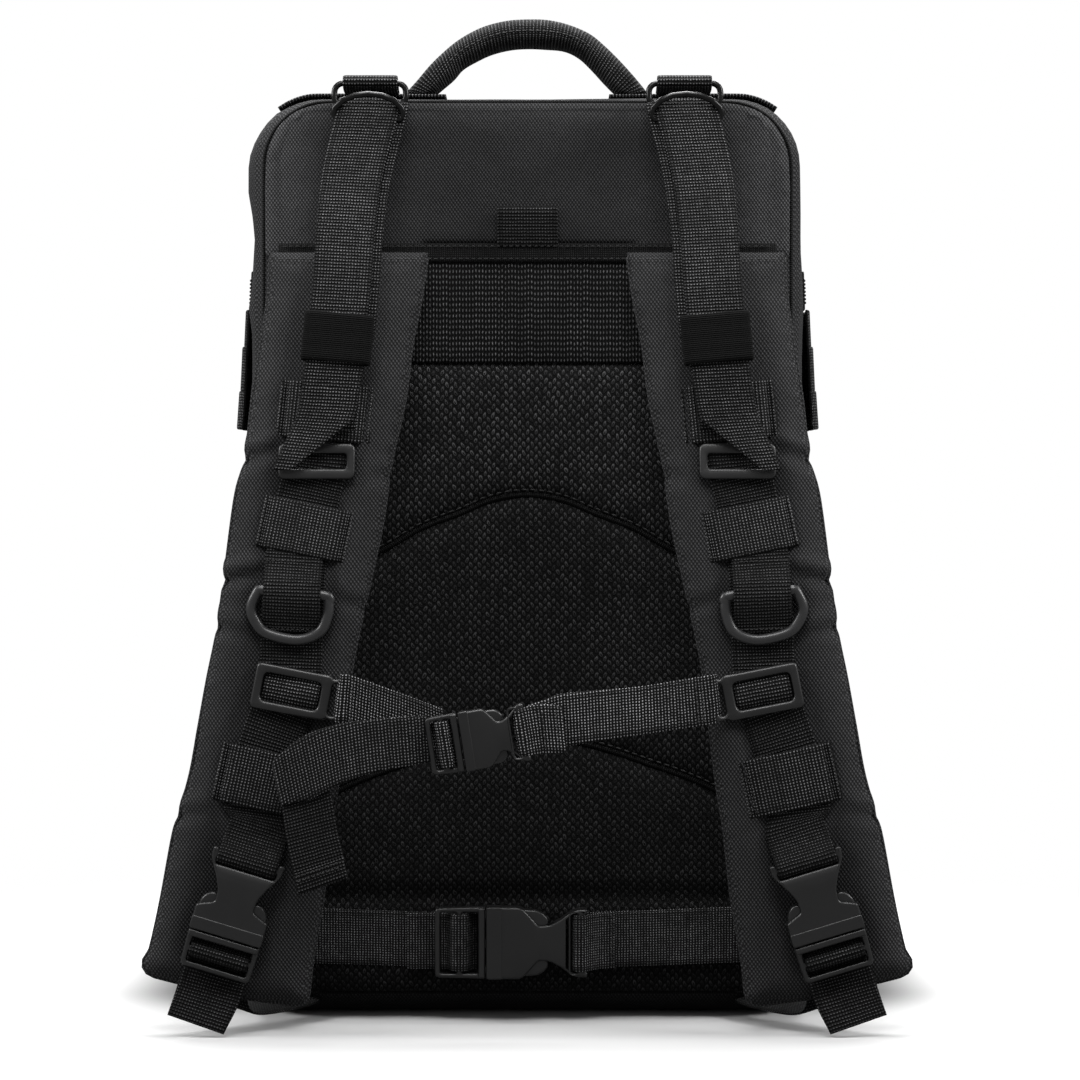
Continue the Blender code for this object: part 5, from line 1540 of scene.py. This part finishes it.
    # load-lifter strap: back layer from the pad up to the ring, front layer down from it with a cut free end
    under = []
    for l, r, z, y in [(-127.6, -94.2, 330.0, line_y(330) - 5.3)] + [(l + (4.0 if z > 370 else 0.6), r + (4.6 if z > 370 else 0.6), z, y + 0.9) for l, r, z, y in LIFT[::-1][1:]] + [(-102.0, -67.0, 512.6, -110.6)]:
        under.append(((l, y, z + 0.6), (r, y, z - 0.6)))
    o = strap(f"lifter_back_{s}", mir(under, sg), M_WEB, thick=1.3, step=2.4, across=6, ripple=0.25, seed=3 + sg)
    bend(o, s, "webbing", (X(-0.088), -0.11, 0.505), (X(-0.105), -0.146, 0.37))
    front = [((-104.6, -110.3, 514.2), (-70.8, -110.3, 513.4)), ((-105.0, -113.0, 513.6), (-70.6, -113.0, 512.8))]
    for l, r, z, y in LIFT:
        front.append(((l, y - 1.5, z + 0.8), (r, y - 1.5, z - 0.8)))
    front[2] = ((-105.6, -115.8, 509.2), (-70.6, -115.8, 508.4))
    front += [((-130.0, -153.6, 327.0), (-98.8, -153.6, 324.0)), ((-134.6, -156.0, 316.0), (-103.4, -156.0, 313.0)), ((-138.6, -157.0, 305.0), (-107.6, -157.0, 302.0))]
    o = strap(f"lifter_front_{s}", mir(front, sg), M_WEB, thick=1.4, step=2.2, across=10, ripple=0.35, seed=7 + sg, crown=0.35)
    dx, dz = -127.3 + 95.8, 308.4 - 334.4
    n_ = (-dz, dx) if -dz * 1 + dx * -1 > 0 else (dz, -dx)
    cut(o, (X(-111.5), 0, 321.4), (X(n_[0]), 0, n_[1]))
    cut(o, (0, 0, 307.8), (0, 0, -1))
    bend(o, s, "webbing", (X(-0.088), -0.11, 0.505), (X(-0.105), -0.146, 0.37), f"load_lifter_{s}")

    # elastic sleeve
    a, b = Vector((-102.2, -143.6, 393.0)), Vector((-104.6, -147.3, 366.5))
    dv = (b - a).normalized()
    wv = (Vector((1, 0, -0.05)) - dv * dv.dot(Vector((1, 0, -0.05)))).normalized()
    nv = dv.cross(wv).normalized()
    if nv.y > 0:
        nv = -nv
    pts, uvs, faces = [], [], []
    m = 40
    Lz = (b - a).length
    prof = [(0.0, 0.0, 1), (0.0, 0.55, 0), (0.8, 0.95, 0)] + [(Lz * k / 12, 1.0 + 0.10 * math.sin(k * 1.9 + sg), 0) for k in range(1, 12)] + [(Lz - 0.8, 0.95, 0), (Lz, 0.55, 0), (Lz, 0.0, 1)]
    for t_, grow, inner in prof:
        hw, hh = (17.6, 2.6) if inner else (18.4 + 0.75 * grow, 3.7 + 0.95 * grow)
        for k in range(m):
            an = TAU * k / m
            ca, sa = math.cos(an), math.sin(an)
            px = hw * math.copysign(abs(ca) ** 0.22, ca)
            py = hh * math.copysign(abs(sa) ** 0.5, sa)
            q = a + dv * t_ + wv * px + nv * py
            pts.append((X(q.x) * MM, q.y * MM, q.z * MM))
            uvs.append((px * MM + (0.3 if sa < 0 else 0), t_ * MM))
    n = len(prof)
    for i in range(n - 1):
        for k in range(m):
            l_ = (k + 1) % m
            faces.append((i * m + k, i * m + l_, (i + 1) * m + l_, (i + 1) * m + k))
    for k in range(m):
        l_ = (k + 1) % m
        faces.append(((n - 1) * m + k, (n - 1) * m + l_, l_, k))
    o = make(f"elastic_sleeve_{s}", pts, faces, M_ELASTIC, uvs)
    fix(o)
    flag(o, STRAP, "elastic", f"elastic_keeper_{s}")

    # sternum slider: frame, the webbing showing in its window, the loop for the sternum strap
    SL = local(-127.5, 188.1, math.cos(math.radians(-11.1)), math.sin(math.radians(-11.1)))
    o_ = [(-21, -12.5), (19.4, -12.5), (21.4, -11.0), (26.0, -11.8), (29.5, -11.0), (29.5, 11.0), (26.0, 11.8), (21.4, 11.0), (19.4, 12.5), (-21, 12.5)]
    w_ = [(-16.2, -7.7), (15.6, -7.7), (15.6, 7.7), (-16.2, 7.7)]
    s_ = [(21.4, -8.8), (25.8, -8.8), (25.8, 8.8), (21.4, 8.8)]
    sl = pad_plate([SL(*p) for p in o_], 2.2, 4.4, [[SL(*p) for p in w_], [SL(*p) for p in s_]], b=1.5, corner=3.2, hole_corner=3.0)
    moulded_piece(f"slider_{s}", sl, lambda u, v, w: (X(u), line_y(v) - w, v), M_PLASTIC, f"sternum_mount_{s}", f"sternum_slider_{s}")
    st = []
    for bb, lf in ((8.6, 2.2), (6.8, 3.4), (4.4, 4.7), (1.6, 5.3), (-1.6, 5.3), (-4.4, 4.7), (-6.8, 3.4), (-8.6, 2.2)):
        a_, b_ = SL(-15.4, bb), SL(15.0, bb)
        st.append(((a_[0], line_y(a_[1]) - lf, a_[1]), (b_[0], line_y(b_[1]) - lf, b_[1])))
    o = strap(f"window_web_{s}", mir(st, sg), M_WEB, thick=1.2, step=1.2, across=10, ripple=1.0, seed=11 + sg, v0=9)
    flag(o, f"sternum_mount_{s}", "webbing")

    # anchor webbing from the foot of the pack to the adjuster
    anc = [((-143.0, -94.0, 19.0), (-117.0, -90.0, 11.0)), ((-146.0, -101.2, 17.5), (-118.0, -100.6, 9.0)), ((-166.0, -125.0, 19.0), (-134.0, -125.0, 8.0)),
           ((-183.0, line_y(22) + 12.6, 21.0), (-149.0, line_y(12) + 12.6, 9.5)), ((-189.0, line_y(27) + 10.2, 29.0), (-153.6, line_y(20) + 10.2, 18.6)),
           ((-188.2, line_y(36) + 9.6, 41.0), (-152.2, line_y(32) + 9.6, 31.0))]
    o = strap(f"anchor_web_{s}", mir(anc, sg), M_WEB_LOW, thick=1.4, step=2.6, across=6, ripple=0.4, seed=21 + sg)
    bend(o, s, "webbing", (X(-0.132), -0.1018, 0.013), (X(-0.171), -0.147, 0.017), f"anchor_webbing_{s}")

    # side-release buckle
    place = seat(SIDE_MOUTH, SIDE_DIR, 7.9, mirror=(sg < 0))

    def tapered(u, v, w, place=place):
        k = smoothstep(u, 27.0, 43.0)
        return place(u, v, w * (1 - 0.36 * k) + (-1.2 * k))
    moulded_piece(f"socket_{s}", female(44.0, 20.0, 19.4, 11.0, 9.4, 16.6, 0.30, 0.40), tapered, M_PLASTIC, STRAP, f"side_buckle_female_{s}")
    moulded_piece(f"plug_{s}", male(44.0, 21.0, 20.0, 11.0, 16.8, 9.4, 0.30, 0.40), place, M_PLASTIC, f"side_plug_{s}", f"side_buckle_male_{s}")
    at = local(SIDE_MOUTH[0], SIDE_MOUTH[1], *SIDE_DIR)
    st = []
    for u, w in ((-4.0, -3.6), (-6.2, -1.6), (-7.6, 1.4), (-9.2, 4.2), (-11.2, 4.9), (-13.2, 4.2), (-14.6, 1.4), (-15.6, -2.2), (-18.0, -4.4), (-21.0, -5.2)):
        a_, b_ = at(u, 16.2), at(u, -16.2)
        st.append(((a_[0], line_y(a_[1]) - 7.9 - w, a_[1]), (b_[0], line_y(b_[1]) - 7.9 - w, b_[1])))
    st += [((-188.4, line_y(27) - 3.2, 34.0), (-154.4, line_y(25) - 3.2, 24.4)), ((-190.8, line_y(20) - 5.4, 25.5), (-157.6, line_y(18) - 5.4, 15.5)),
           ((-195.0, line_y(12) - 9.6, 12.6), (-164.6, line_y(2) - 9.6, 1.8))]
    o = strap(f"side_tail_{s}_web", mir(st, sg), M_WEB_LOW, thick=1.4, step=1.5, across=8, ripple=0.3, seed=5 + sg)
    flag(o, f"side_plug_{s}", "webbing", f"side_tail_{s}")

# =====================================================================================================================
# sternum strap
# =====================================================================================================================
SP = seat(STERNUM_MOUTH, STERNUM_DIR, 0.0, on_line=False, y0=STERNUM_Y)
moulded_piece("sternum_socket", female(34.3, 16.1, 15.2, 9.0, 8.2, 12.8, 0.38, 0.60), SP, M_PLASTIC, "sternum_mount_right", "sternum_buckle_female")
moulded_piece("sternum_plug_moulded", male(34.3, 18.2, 16.1, 9.0, 13.2, 8.2, 0.38, 0.60), SP, M_PLASTIC, "sternum_plug", "sternum_buckle_male")


def across(line, lifts, w0=None):
    """Stations for a strap running along +x: line holds (lower x, lower z, upper x, upper z), lifts in front of the pad line."""
    return [((a, line_y(165.0) - lf, b), (c, line_y(165.0) - lf, d)) for (a, b, c, d), lf in zip(line, lifts)]


# left: sewn round the slider's loop and running behind the buckle
st = across([(-104.6, 171.8, -101.0, 197.6), (-101.4, 171.2, -99.2, 197.4), (-97.4, 170.5, -95.4, 197.0), (-80.0, 164.4, -78.0, 190.6), (-60.0, 158.2, -60.4, 184.2), (-41.5, 152.0, -45.0, 178.4)],
            [4.2, 7.3, 6.2, 3.4, 3.2, 4.2])
o = strap("sternum_web_left", st, M_WEB_STERNUM, thick=1.4, step=2.0, across=8, ripple=0.5, seed=31)
flag(o, "sternum_mount_left", "webbing", "sternum_webbing_left")
for k, (xa, xb) in enumerate(((-95.6, -93.8), (-92.6, -90.8))):
    stitches(f"stitch_sternum_left_{k}", [(xa, line_y(165) - 7.0 + k * 0.9, 171.5 - k), (xb, line_y(165) - 7.0 + k * 0.9, 195.0 - k)], (0, -1, 0), "sternum_mount_left", length=1.7, gap=0.8, r=0.34)

# through the adjuster of the plug
AT = local(STERNUM_MOUTH[0], STERNUM_MOUTH[1], *STERNUM_DIR)
st = []
for u, w in ((-3.6, -4.6), (-4.9, -2.2), (-6.0, 1.6), (-7.2, 4.4), (-9.2, 5.3), (-11.0, 4.5), (-12.4, 1.6), (-13.4, -2.0), (-15.6, -4.0)):
    lo, hi = AT(u, -12.4), AT(u, 12.4)
    st.append(((lo[0], STERNUM_Y - w, lo[1]), (hi[0], STERNUM_Y - w, hi[1])))
o = strap("sternum_wrap", st, M_WEB_STERNUM, thick=1.3, step=1.0, across=8, ripple=0.5, seed=33)
flag(o, "sternum_plug", "webbing")

# the free end: out of the adjuster to the left, folded over and hanging
TY = line_y(150.0)
st = []
for (a, b, c, d), y in (((-52.6, 150.4, -54.2, 175.6), TY - 10.4), ((-62.0, 148.8, -64.0, 175.4), TY - 14.2), ((-76.3, 146.6, -79.0, 174.2), TY - 16.3), ((-90.0, 143.0, -92.8, 172.8), TY - 17.0),
                        ((-103.5, 137.6, -108.4, 169.6), TY - 17.4), ((-115.5, 131.4, -122.0, 163.8), TY - 17.6), ((-125.5, 129.0, -131.0, 156.6), TY - 17.4), ((-131.0, 127.6, -136.2, 151.6), TY - 16.4),
                        ((-131.6, 127.4, -136.9, 150.6), TY - 14.8)):
    st.append(((a, y, b), (c, y, d)))
o = strap("sternum_tail_front", st[::-1], M_WEB, thick=1.35, step=1.8, across=8, ripple=0.6, seed=35)
flag(o, "sternum_plug", "webbing", "sternum_tail")
st = [((-133.6, TY - 15.0, 146.0), (-117.5, TY - 15.0, 152.5)), ((-132.8, TY - 15.2, 138.0), (-111.2, TY - 15.2, 144.5)), ((-131.6, TY - 15.4, 127.0), (-106.0, TY - 15.4, 135.0)),
      ((-129.2, line_y(112) - 15.2, 109.0), (-102.6, line_y(112) - 15.2, 116.5)), ((-126.0, line_y(95) - 15.4, 93.0), (-99.2, line_y(95) - 15.4, 101.6)), ((-122.6, line_y(84) - 15.6, 78.8), (-96.4, line_y(84) - 15.6, 88.2))]
o = strap("sternum_tail_hanging", st, M_WEB_LOW, thick=1.35, step=1.8, across=8, ripple=0.7, seed=37)
flag(o, "sternum_plug", "webbing")
st = [((-125.4, line_y(90) - 16.9, 90.6), (-98.6, line_y(90) - 16.9, 99.6)), ((-124.4, line_y(86) - 17.3, 86.0), (-97.8, line_y(86) - 17.3, 95.2)), ((-122.7, line_y(80) - 17.1, 79.2), (-96.6, line_y(80) - 17.1, 88.6))]
o = strap("sternum_tail_hem", st, M_WEB_LOW, thick=1.3, step=1.6, across=8)
flag(o, "sternum_plug", "webbing")
for k, dz_ in enumerate((-1.6, -4.4)):
    stitches(f"stitch_tail_{k}", [(-124.6 + k * 0.6, line_y(90) - 17.8, 90.6 + dz_), (-99.4 + k * 0.6, line_y(90) - 17.8, 99.2 + dz_)], (0, -1, 0), "sternum_plug", length=1.9, gap=0.8, r=0.36)

# right: one run of webbing with its end sewn back round the socket's bar
st = across([(3.0, 154.9, 0.6, 181.0), (12.0, 156.8, 10.0, 184.2), (20.0, 158.6, 18.5, 187.2), (40.0, 161.7, 39.0, 189.2), (60.0, 164.8, 59.2, 190.8), (80.0, 167.6, 78.6, 193.8), (97.6, 170.0, 94.8, 196.4), (101.4, 170.8, 98.9, 197.0), (104.8, 171.8, 101.8, 197.4)],
            [8.4, 8.4, 8.2, 8.3, 8.2, 7.6, 6.4, 6.2, 4.0])
o = strap("sternum_web_right", st, M_WEB_STERNUM, thick=1.4, step=2.0, across=8, ripple=0.45, seed=41)
flag(o, "sternum_mount_right", "webbing", "sternum_webbing_right")
st = []
for u, w, hh, sh in ((30.0, -2.6, 12.2, 0), (29.6, 0.6, 12.3, 0), (30.6, 3.6, 12.4, 0), (32.4, 4.7, 12.5, 0), (35.0, 4.4, 12.8, 0.2), (39.0, 2.6, 13.1, 0.4), (45.0, 1.2, 13.2, 0.0), (50.0, 0.8, 13.0, -0.9), (55.0, 0.5, 12.2, -2.0)):
    lo, hi = AT(u, -hh + sh), AT(u + (1.6 if u > 40 else 0), hh + sh)
    st.append(((lo[0], STERNUM_Y - w, lo[1]), (hi[0], STERNUM_Y - w, hi[1])))
o = strap("sternum_wrap_right", st, M_WEB_STERNUM, thick=1.3, step=1.2, across=8, ripple=0.7, seed=43)
flag(o, "sternum_mount_right", "webbing")
for k, u in enumerate((44.0, 51.5)):
    lo, hi = AT(u, -10.5), AT(u + 1.5, 10.5)
    stitches(f"stitch_sternum_right_{k}", [(lo[0], STERNUM_Y - 2.1, lo[1]), (hi[0], STERNUM_Y - 2.1, hi[1])], (0, -1, 0), "sternum_mount_right", length=1.7, gap=0.8, r=0.34)
for k, (xa, xb) in enumerate(((95.6, 93.8), (92.6, 90.8))):
    stitches(f"stitch_sternum_slider_{k}", [(xa, line_y(165) - 7.8, 171.0 - k * 0.5), (xb, line_y(165) - 7.8, 195.0 - k * 0.5)], (0, -1, 0), "sternum_mount_right", length=1.7, gap=0.8, r=0.34)

# =====================================================================================================================
# hip strap
# =====================================================================================================================
HP = seat(HIP_MOUTH, (1, 0), 0.0, on_line=False, y0=HIP_Y)
moulded_piece("hip_socket", female(54.0, 20.0, 18.5, 11.0, 10.4, 16.4, 0.34, 0.54), HP, M_PLASTIC, "pack", "hip_buckle_female")
moulded_piece("hip_plug_moulded", male(54.0, 28.5, 20.0, 11.0, 17.0, 10.4, 0.34, 0.54), HP, M_PLASTIC, "hip_plug", "hip_buckle_male")
st = [((-134.0, -106.9, 32.4), (-134.0, -106.9, 63.6)), ((-100.0, -106.4, 31.6), (-100.0, -106.4, 62.4)), ((-76.0, -106.1, 30.8), (-76.0, -106.1, 61.6)), ((-60.0, -106.1, 30.3), (-60.0, -106.1, 61.0)), ((-33.0, -106.1, 29.6), (-33.0, -106.1, 60.2))]
o = strap("hip_web_left", st, M_WEB_HIP, thick=1.1, step=3.0, across=8, ripple=0.15, seed=51)
flag(o, "pack", "webbing", "hip_webbing_left")
st = [((HIP_MOUTH[0] + u, HIP_Y - w, 45.0 - 15.6), (HIP_MOUTH[0] + u, HIP_Y - w, 45.0 + 15.6)) for u, w in
      ((-5.0, -5.4), (-8.0, -3.8), (-9.6, -0.6), (-10.8, 2.8), (-13.2, 4.4), (-16.2, 4.4), (-18.6, 2.8), (-19.8, -0.6), (-21.6, -3.8), (-26.0, -4.9), (-33.0, -5.0), (-44.0, -5.0))]
o = strap("hip_wrap", st[::-1], M_WEB_HIP, thick=1.3, step=1.6, across=8, ripple=0.2, seed=52)
flag(o, "hip_plug", "webbing")
st = [((31.6, -109.1, 29.9), (31.6, -109.1, 61.0)), ((70.0, -109.6, 31.4), (70.0, -109.6, 62.4)), ((105.0, -109.4, 32.6), (105.0, -109.4, 63.8)), ((134.0, -109.0, 33.6), (134.0, -109.0, 64.8))]
o = strap("hip_web_right", st, M_WEB_HIP, thick=1.4, step=3.0, across=8, ripple=0.7, seed=53)
flag(o, "pack", "webbing", "hip_webbing_right")
st = [((HIP_MOUTH[0] + u, HIP_Y - w, 45.0 - 15.6 + k), (HIP_MOUTH[0] + u, HIP_Y - w, 45.0 + 15.6 + k)) for u, w, k in
      ((48.6, -3.4, 0), (48.4, 0.4, 0), (49.6, 5.0, 0), (51.6, 6.6, 0), (54.4, 6.0, 0), (58.0, 2.6, 0.3), (64.0, -1.8, 0.6), (72.0, -3.6, 0.8))]
o = strap("hip_wrap_right", st, M_WEB_HIP, thick=1.3, step=1.2, across=8, ripple=0.3, seed=54)
flag(o, "pack", "webbing")
for k, x in enumerate((41.5, 47.0)):
    stitches(f"stitch_hip_{k}", [(x, HIP_Y + 2.6, 31.5), (x, HIP_Y + 2.6, 60.0)], (0, -1, 0), "pack", length=1.8, gap=0.8, r=0.34)

# =====================================================================================================================
# front of the pack: pocket, its lid, webbing rows, zip sliders
# =====================================================================================================================
PK_Y = 80.3


def loft_shell(name, y0, y1, a, b, mat, body, nodes, seed, bulge=1.2):
    """A wall lofted from outline a at y0 to b at y1, open at y1."""
    rows = 12
    pts, faces = [], []
    for i in range(rows + 1):
        t = i / rows
        y = y0 + (y1 - y0) * t
        sec = [(p[0] + (q[0] - p[0]) * t, p[1] + (q[1] - p[1]) * t) for p, q in zip(a, b)]
        cx, cz = 0.0, 251.0
        for x, z in sec:
            e = 4 * t * (1 - t)
            g = bulge * e + 0.9 * e * noise.noise(Vector((x * 0.03, y * 0.05, z * 0.03 + seed)))
            r = math.hypot(x - cx, z - cz) or 1
            pts.append(((x + (x - cx) / r * g) * MM, y * MM, (z + (z - cz) / r * g) * MM))
    m = len(a)
    for i in range(rows):
        for k in range(m):
            l_ = (k + 1) % m
            faces.append((i * m + k, i * m + l_, (i + 1) * m + l_, (i + 1) * m + k))
    faces.append(tuple(range(m))[::-1])
    o = make(name, pts, faces, [mat, M_LINING])
    bm = bmesh.new()
    bm.from_mesh(o.data)
    bmesh.ops.recalc_face_normals(bm, faces=bm.faces)
    cen = Vector((0, (y0 - 5) * MM, 251 * MM))
    f0 = max(bm.faces, key=lambda f: f.calc_area())
    if f0.normal.y > 0:
        bmesh.ops.reverse_faces(bm, faces=bm.faces)
    bm.to_mesh(o.data)
    bm.free()
    sm = o.modifiers.new("wall", "SOLIDIFY")
    sm.thickness, sm.offset, sm.material_offset = 0.0022, -1.0, 1
    flag(o, body, "cordura", *nodes)
    return o


SECA = [(x, z) for x, z in section(122, 136, 366, 16, 14, 5, 14, 14)]
SECB = [(x, z) for x, z in section(120, 138, 364, 18, 16, 5, 14, 14)]
pocket = loft_shell("pocket_wall", PK_Y, PK_Y + 47.0, SECA, SECB, M_BODY, "flap", ("front_pocket",), 2.0)
for nm, y, body in (("pocket_coil_low", PK_Y + 46.6, "flap"), ("pocket_coil_high", PK_Y + 49.4, "pocket_lid")):
    o = tube(nm, [(x * 1.004, y, 251 + (z - 251) * 1.004) for x, z in SECB], 1.3, M_COIL, 8, closed=True)
    flag(o, body, "webbing")
DOOR = [(-120, 138), (120, 138), (120, 364), (-120, 364)]


def lid_front(x, z, d):
    base = PK_Y + 48.6 + 3.2 + 6.0 * dome(d, 16)
    return base + 0.9 * noise.noise(Vector((x * 0.02, z * 0.02, 5.0))) * dome(d, 30) + 0.4 * noise.noise(Vector((x * 0.06, z * 0.06, 9.0))) * dome(d, 20)


lid = pillow("pocket_lid_cloth", round_corners(DOOR, 18, 6), lid_front, lambda x, z, d: PK_Y + 48.5 + 0.4 * dome(d, 8), M_BODY, step=5.0, rim=1)
flag(lid, "pocket_lid", "cordura", "pocket_door")
pl = tube("lid_piping", [(x, PK_Y + 51.6, z) for x, z in round_corners([(-119, 139), (119, 139), (119, 363), (-119, 363)], 18, 8)], 1.5, M_TAPE, 10, closed=True, step=4.0)
flag(pl, "pocket_lid", "webbing")
for k, z in enumerate((168.0, 206.0, 244.0)):
    st = []
    for x in np.linspace(-100, 100, 60):
        ph = (x + 100) / 200 * 5
        out = 0.9 + 1.1 * abs(math.sin(math.pi * ph))
        y = lid_front(x, z, 30) + out
        st.append(((x, y, z + 12.5), (x, y, z - 12.5)))
    o = strap(f"lid_row_{k}", st, M_MOLLE, thick=1.4, step=3.0, across=6, smooth_path=False)
    flag(o, "pocket_lid", "webbing")
    for ph in range(6):
        x = -100 + 40 * ph
        x = min(max(x, -98.5), 98.5)
        stitches(f"lid_bar_{k}_{ph}", [(x, lid_front(x, z, 30) + 1.9, z - 11), (x, lid_front(x, z, 30) + 1.9, z + 11)], (0, 1, 0), "pocket_lid", length=1.6, gap=0.5, r=0.45)
panel = pillow("loop_panel", round_corners([(-85, 276), (85, 276), (85, 340), (-85, 340)], 5, 4), lambda x, z, d: lid_front(x, z, 30) + 0.5 + 1.2 * dome(d, 3),
               lambda x, z, d: lid_front(x, z, 30) - 0.4, M_LOOP, step=3.0, rim=1)
flag(panel, "pocket_lid", "spacer_mesh")
# above the pocket, two rows on the flap
for k, z in enumerate((398.0, 440.0)):
    st = []
    for x in np.linspace(-110, 110, 70):
        ph = (x + 110) / 220 * 6
        y = 83.6 + 3.0 * math.sin(math.pi * z / T) * math.cos(math.pi * x / 2 / 160.0) + 0.9 * abs(math.sin(math.pi * ph))
        st.append(((x, y, z + 12.5), (x, y, z - 12.5)))
    o = strap(f"flap_row_{k}", st, M_MOLLE, thick=1.4, step=3.0, across=6, smooth_path=False)
    flag(o, "flap", "webbing")


def zip_pull(name, x, y, z, sg, body, node):
    """Slider body, its bridge and a cord pull with a moulded grip."""
    body_ = plate([(-5.6, -4.0), (5.6, -3.4), (5.6, 3.4), (-5.6, 4.0)], 0.2, 2.6, (), b=0.7, corner=1.6)
    bridge = plate([(-3.2, -1.5), (3.2, -1.5), (3.2, 1.5), (-3.2, 1.5)], 2.2, 4.0, (), b=0.6, corner=0.6)
    sol = combine(body_, ("UNION", bridge))
    slider = moulded_piece(name, sol, lambda u, v, w: (sg * (x + u), y + v, z + w), M_WIRE, body)
    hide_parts(node)
    cord = tube(name + "_cord", [(sg * (x + 1.0), y - 1.0, z + 3.2), (sg * (x + 5.0), y - 1.2, z + 4.2), (sg * (x + 12.0), y - 1.0, z + 3.2), (sg * (x + 18.0), y - 0.6, z + 2.8)], 0.85, M_TAPE, 8, step=1.5)
    flag(cord, body, "webbing")
    cord = tube(name + "_cord2", [(sg * (x + 1.0), y + 1.0, z + 3.2), (sg * (x + 5.0), y + 1.2, z + 4.2), (sg * (x + 12.0), y + 1.0, z + 3.2), (sg * (x + 18.0), y + 0.6, z + 2.8)], 0.85, M_TAPE, 8, step=1.5)
    flag(cord, body, "webbing")
    grip = plate([(16.0, -2.4), (31.5, -3.0), (31.5, 3.0), (16.0, 2.4)], 1.2, 4.8, (), b=1.2, corner=1.8)
    held = moulded_piece(name + "_grip", grip, lambda u, v, w: (sg * (x + u), y + v, z + w), M_PLASTIC, body)



ZT = T + 2.6
zip_pull("zip_slider_right", 9.0, SPLIT, ZT, 1, "main_zip_right", "main_zip_slider_right")
zip_pull("zip_slider_left", 9.0, SPLIT, ZT, -1, "main_zip_left", "main_zip_slider_left")
zip_pull("zip_slider_pocket", 0.0, PK_Y + 48.0, 365.0, 1, "pocket_zip", "pocket_zip_slider")

# the board behind the back panel stays as packed, behind the yoke and the mesh
for nm in ("frame_sheet",):
    for o in scene.objects:
        if o.get("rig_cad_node") == nm:
            for sl_ in o.material_slots:
                sl_.material = M_LINING

# =====================================================================================================================
lo = [1e9] * 3
hi = [-1e9] * 3
bpy.context.view_layer.update()
dg = bpy.context.evaluated_depsgraph_get()
for o in scene.objects:
    if o.type == "MESH" and not o.hide_render and not o.get("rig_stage"):
        ev = o.evaluated_get(dg)
        co = np.zeros(len(ev.data.vertices) * 3, np.float32)
        ev.data.vertices.foreach_get("co", co)
        if not len(co):
            continue
        Mx = np.array(ev.matrix_world)
        co = co.reshape(-1, 3) @ Mx[:3, :3].T + Mx[:3, 3]
        lo = [min(a, float(b)) for a, b in zip(lo, co.min(0))]
        hi = [max(a, float(b)) for a, b in zip(hi, co.max(0))]
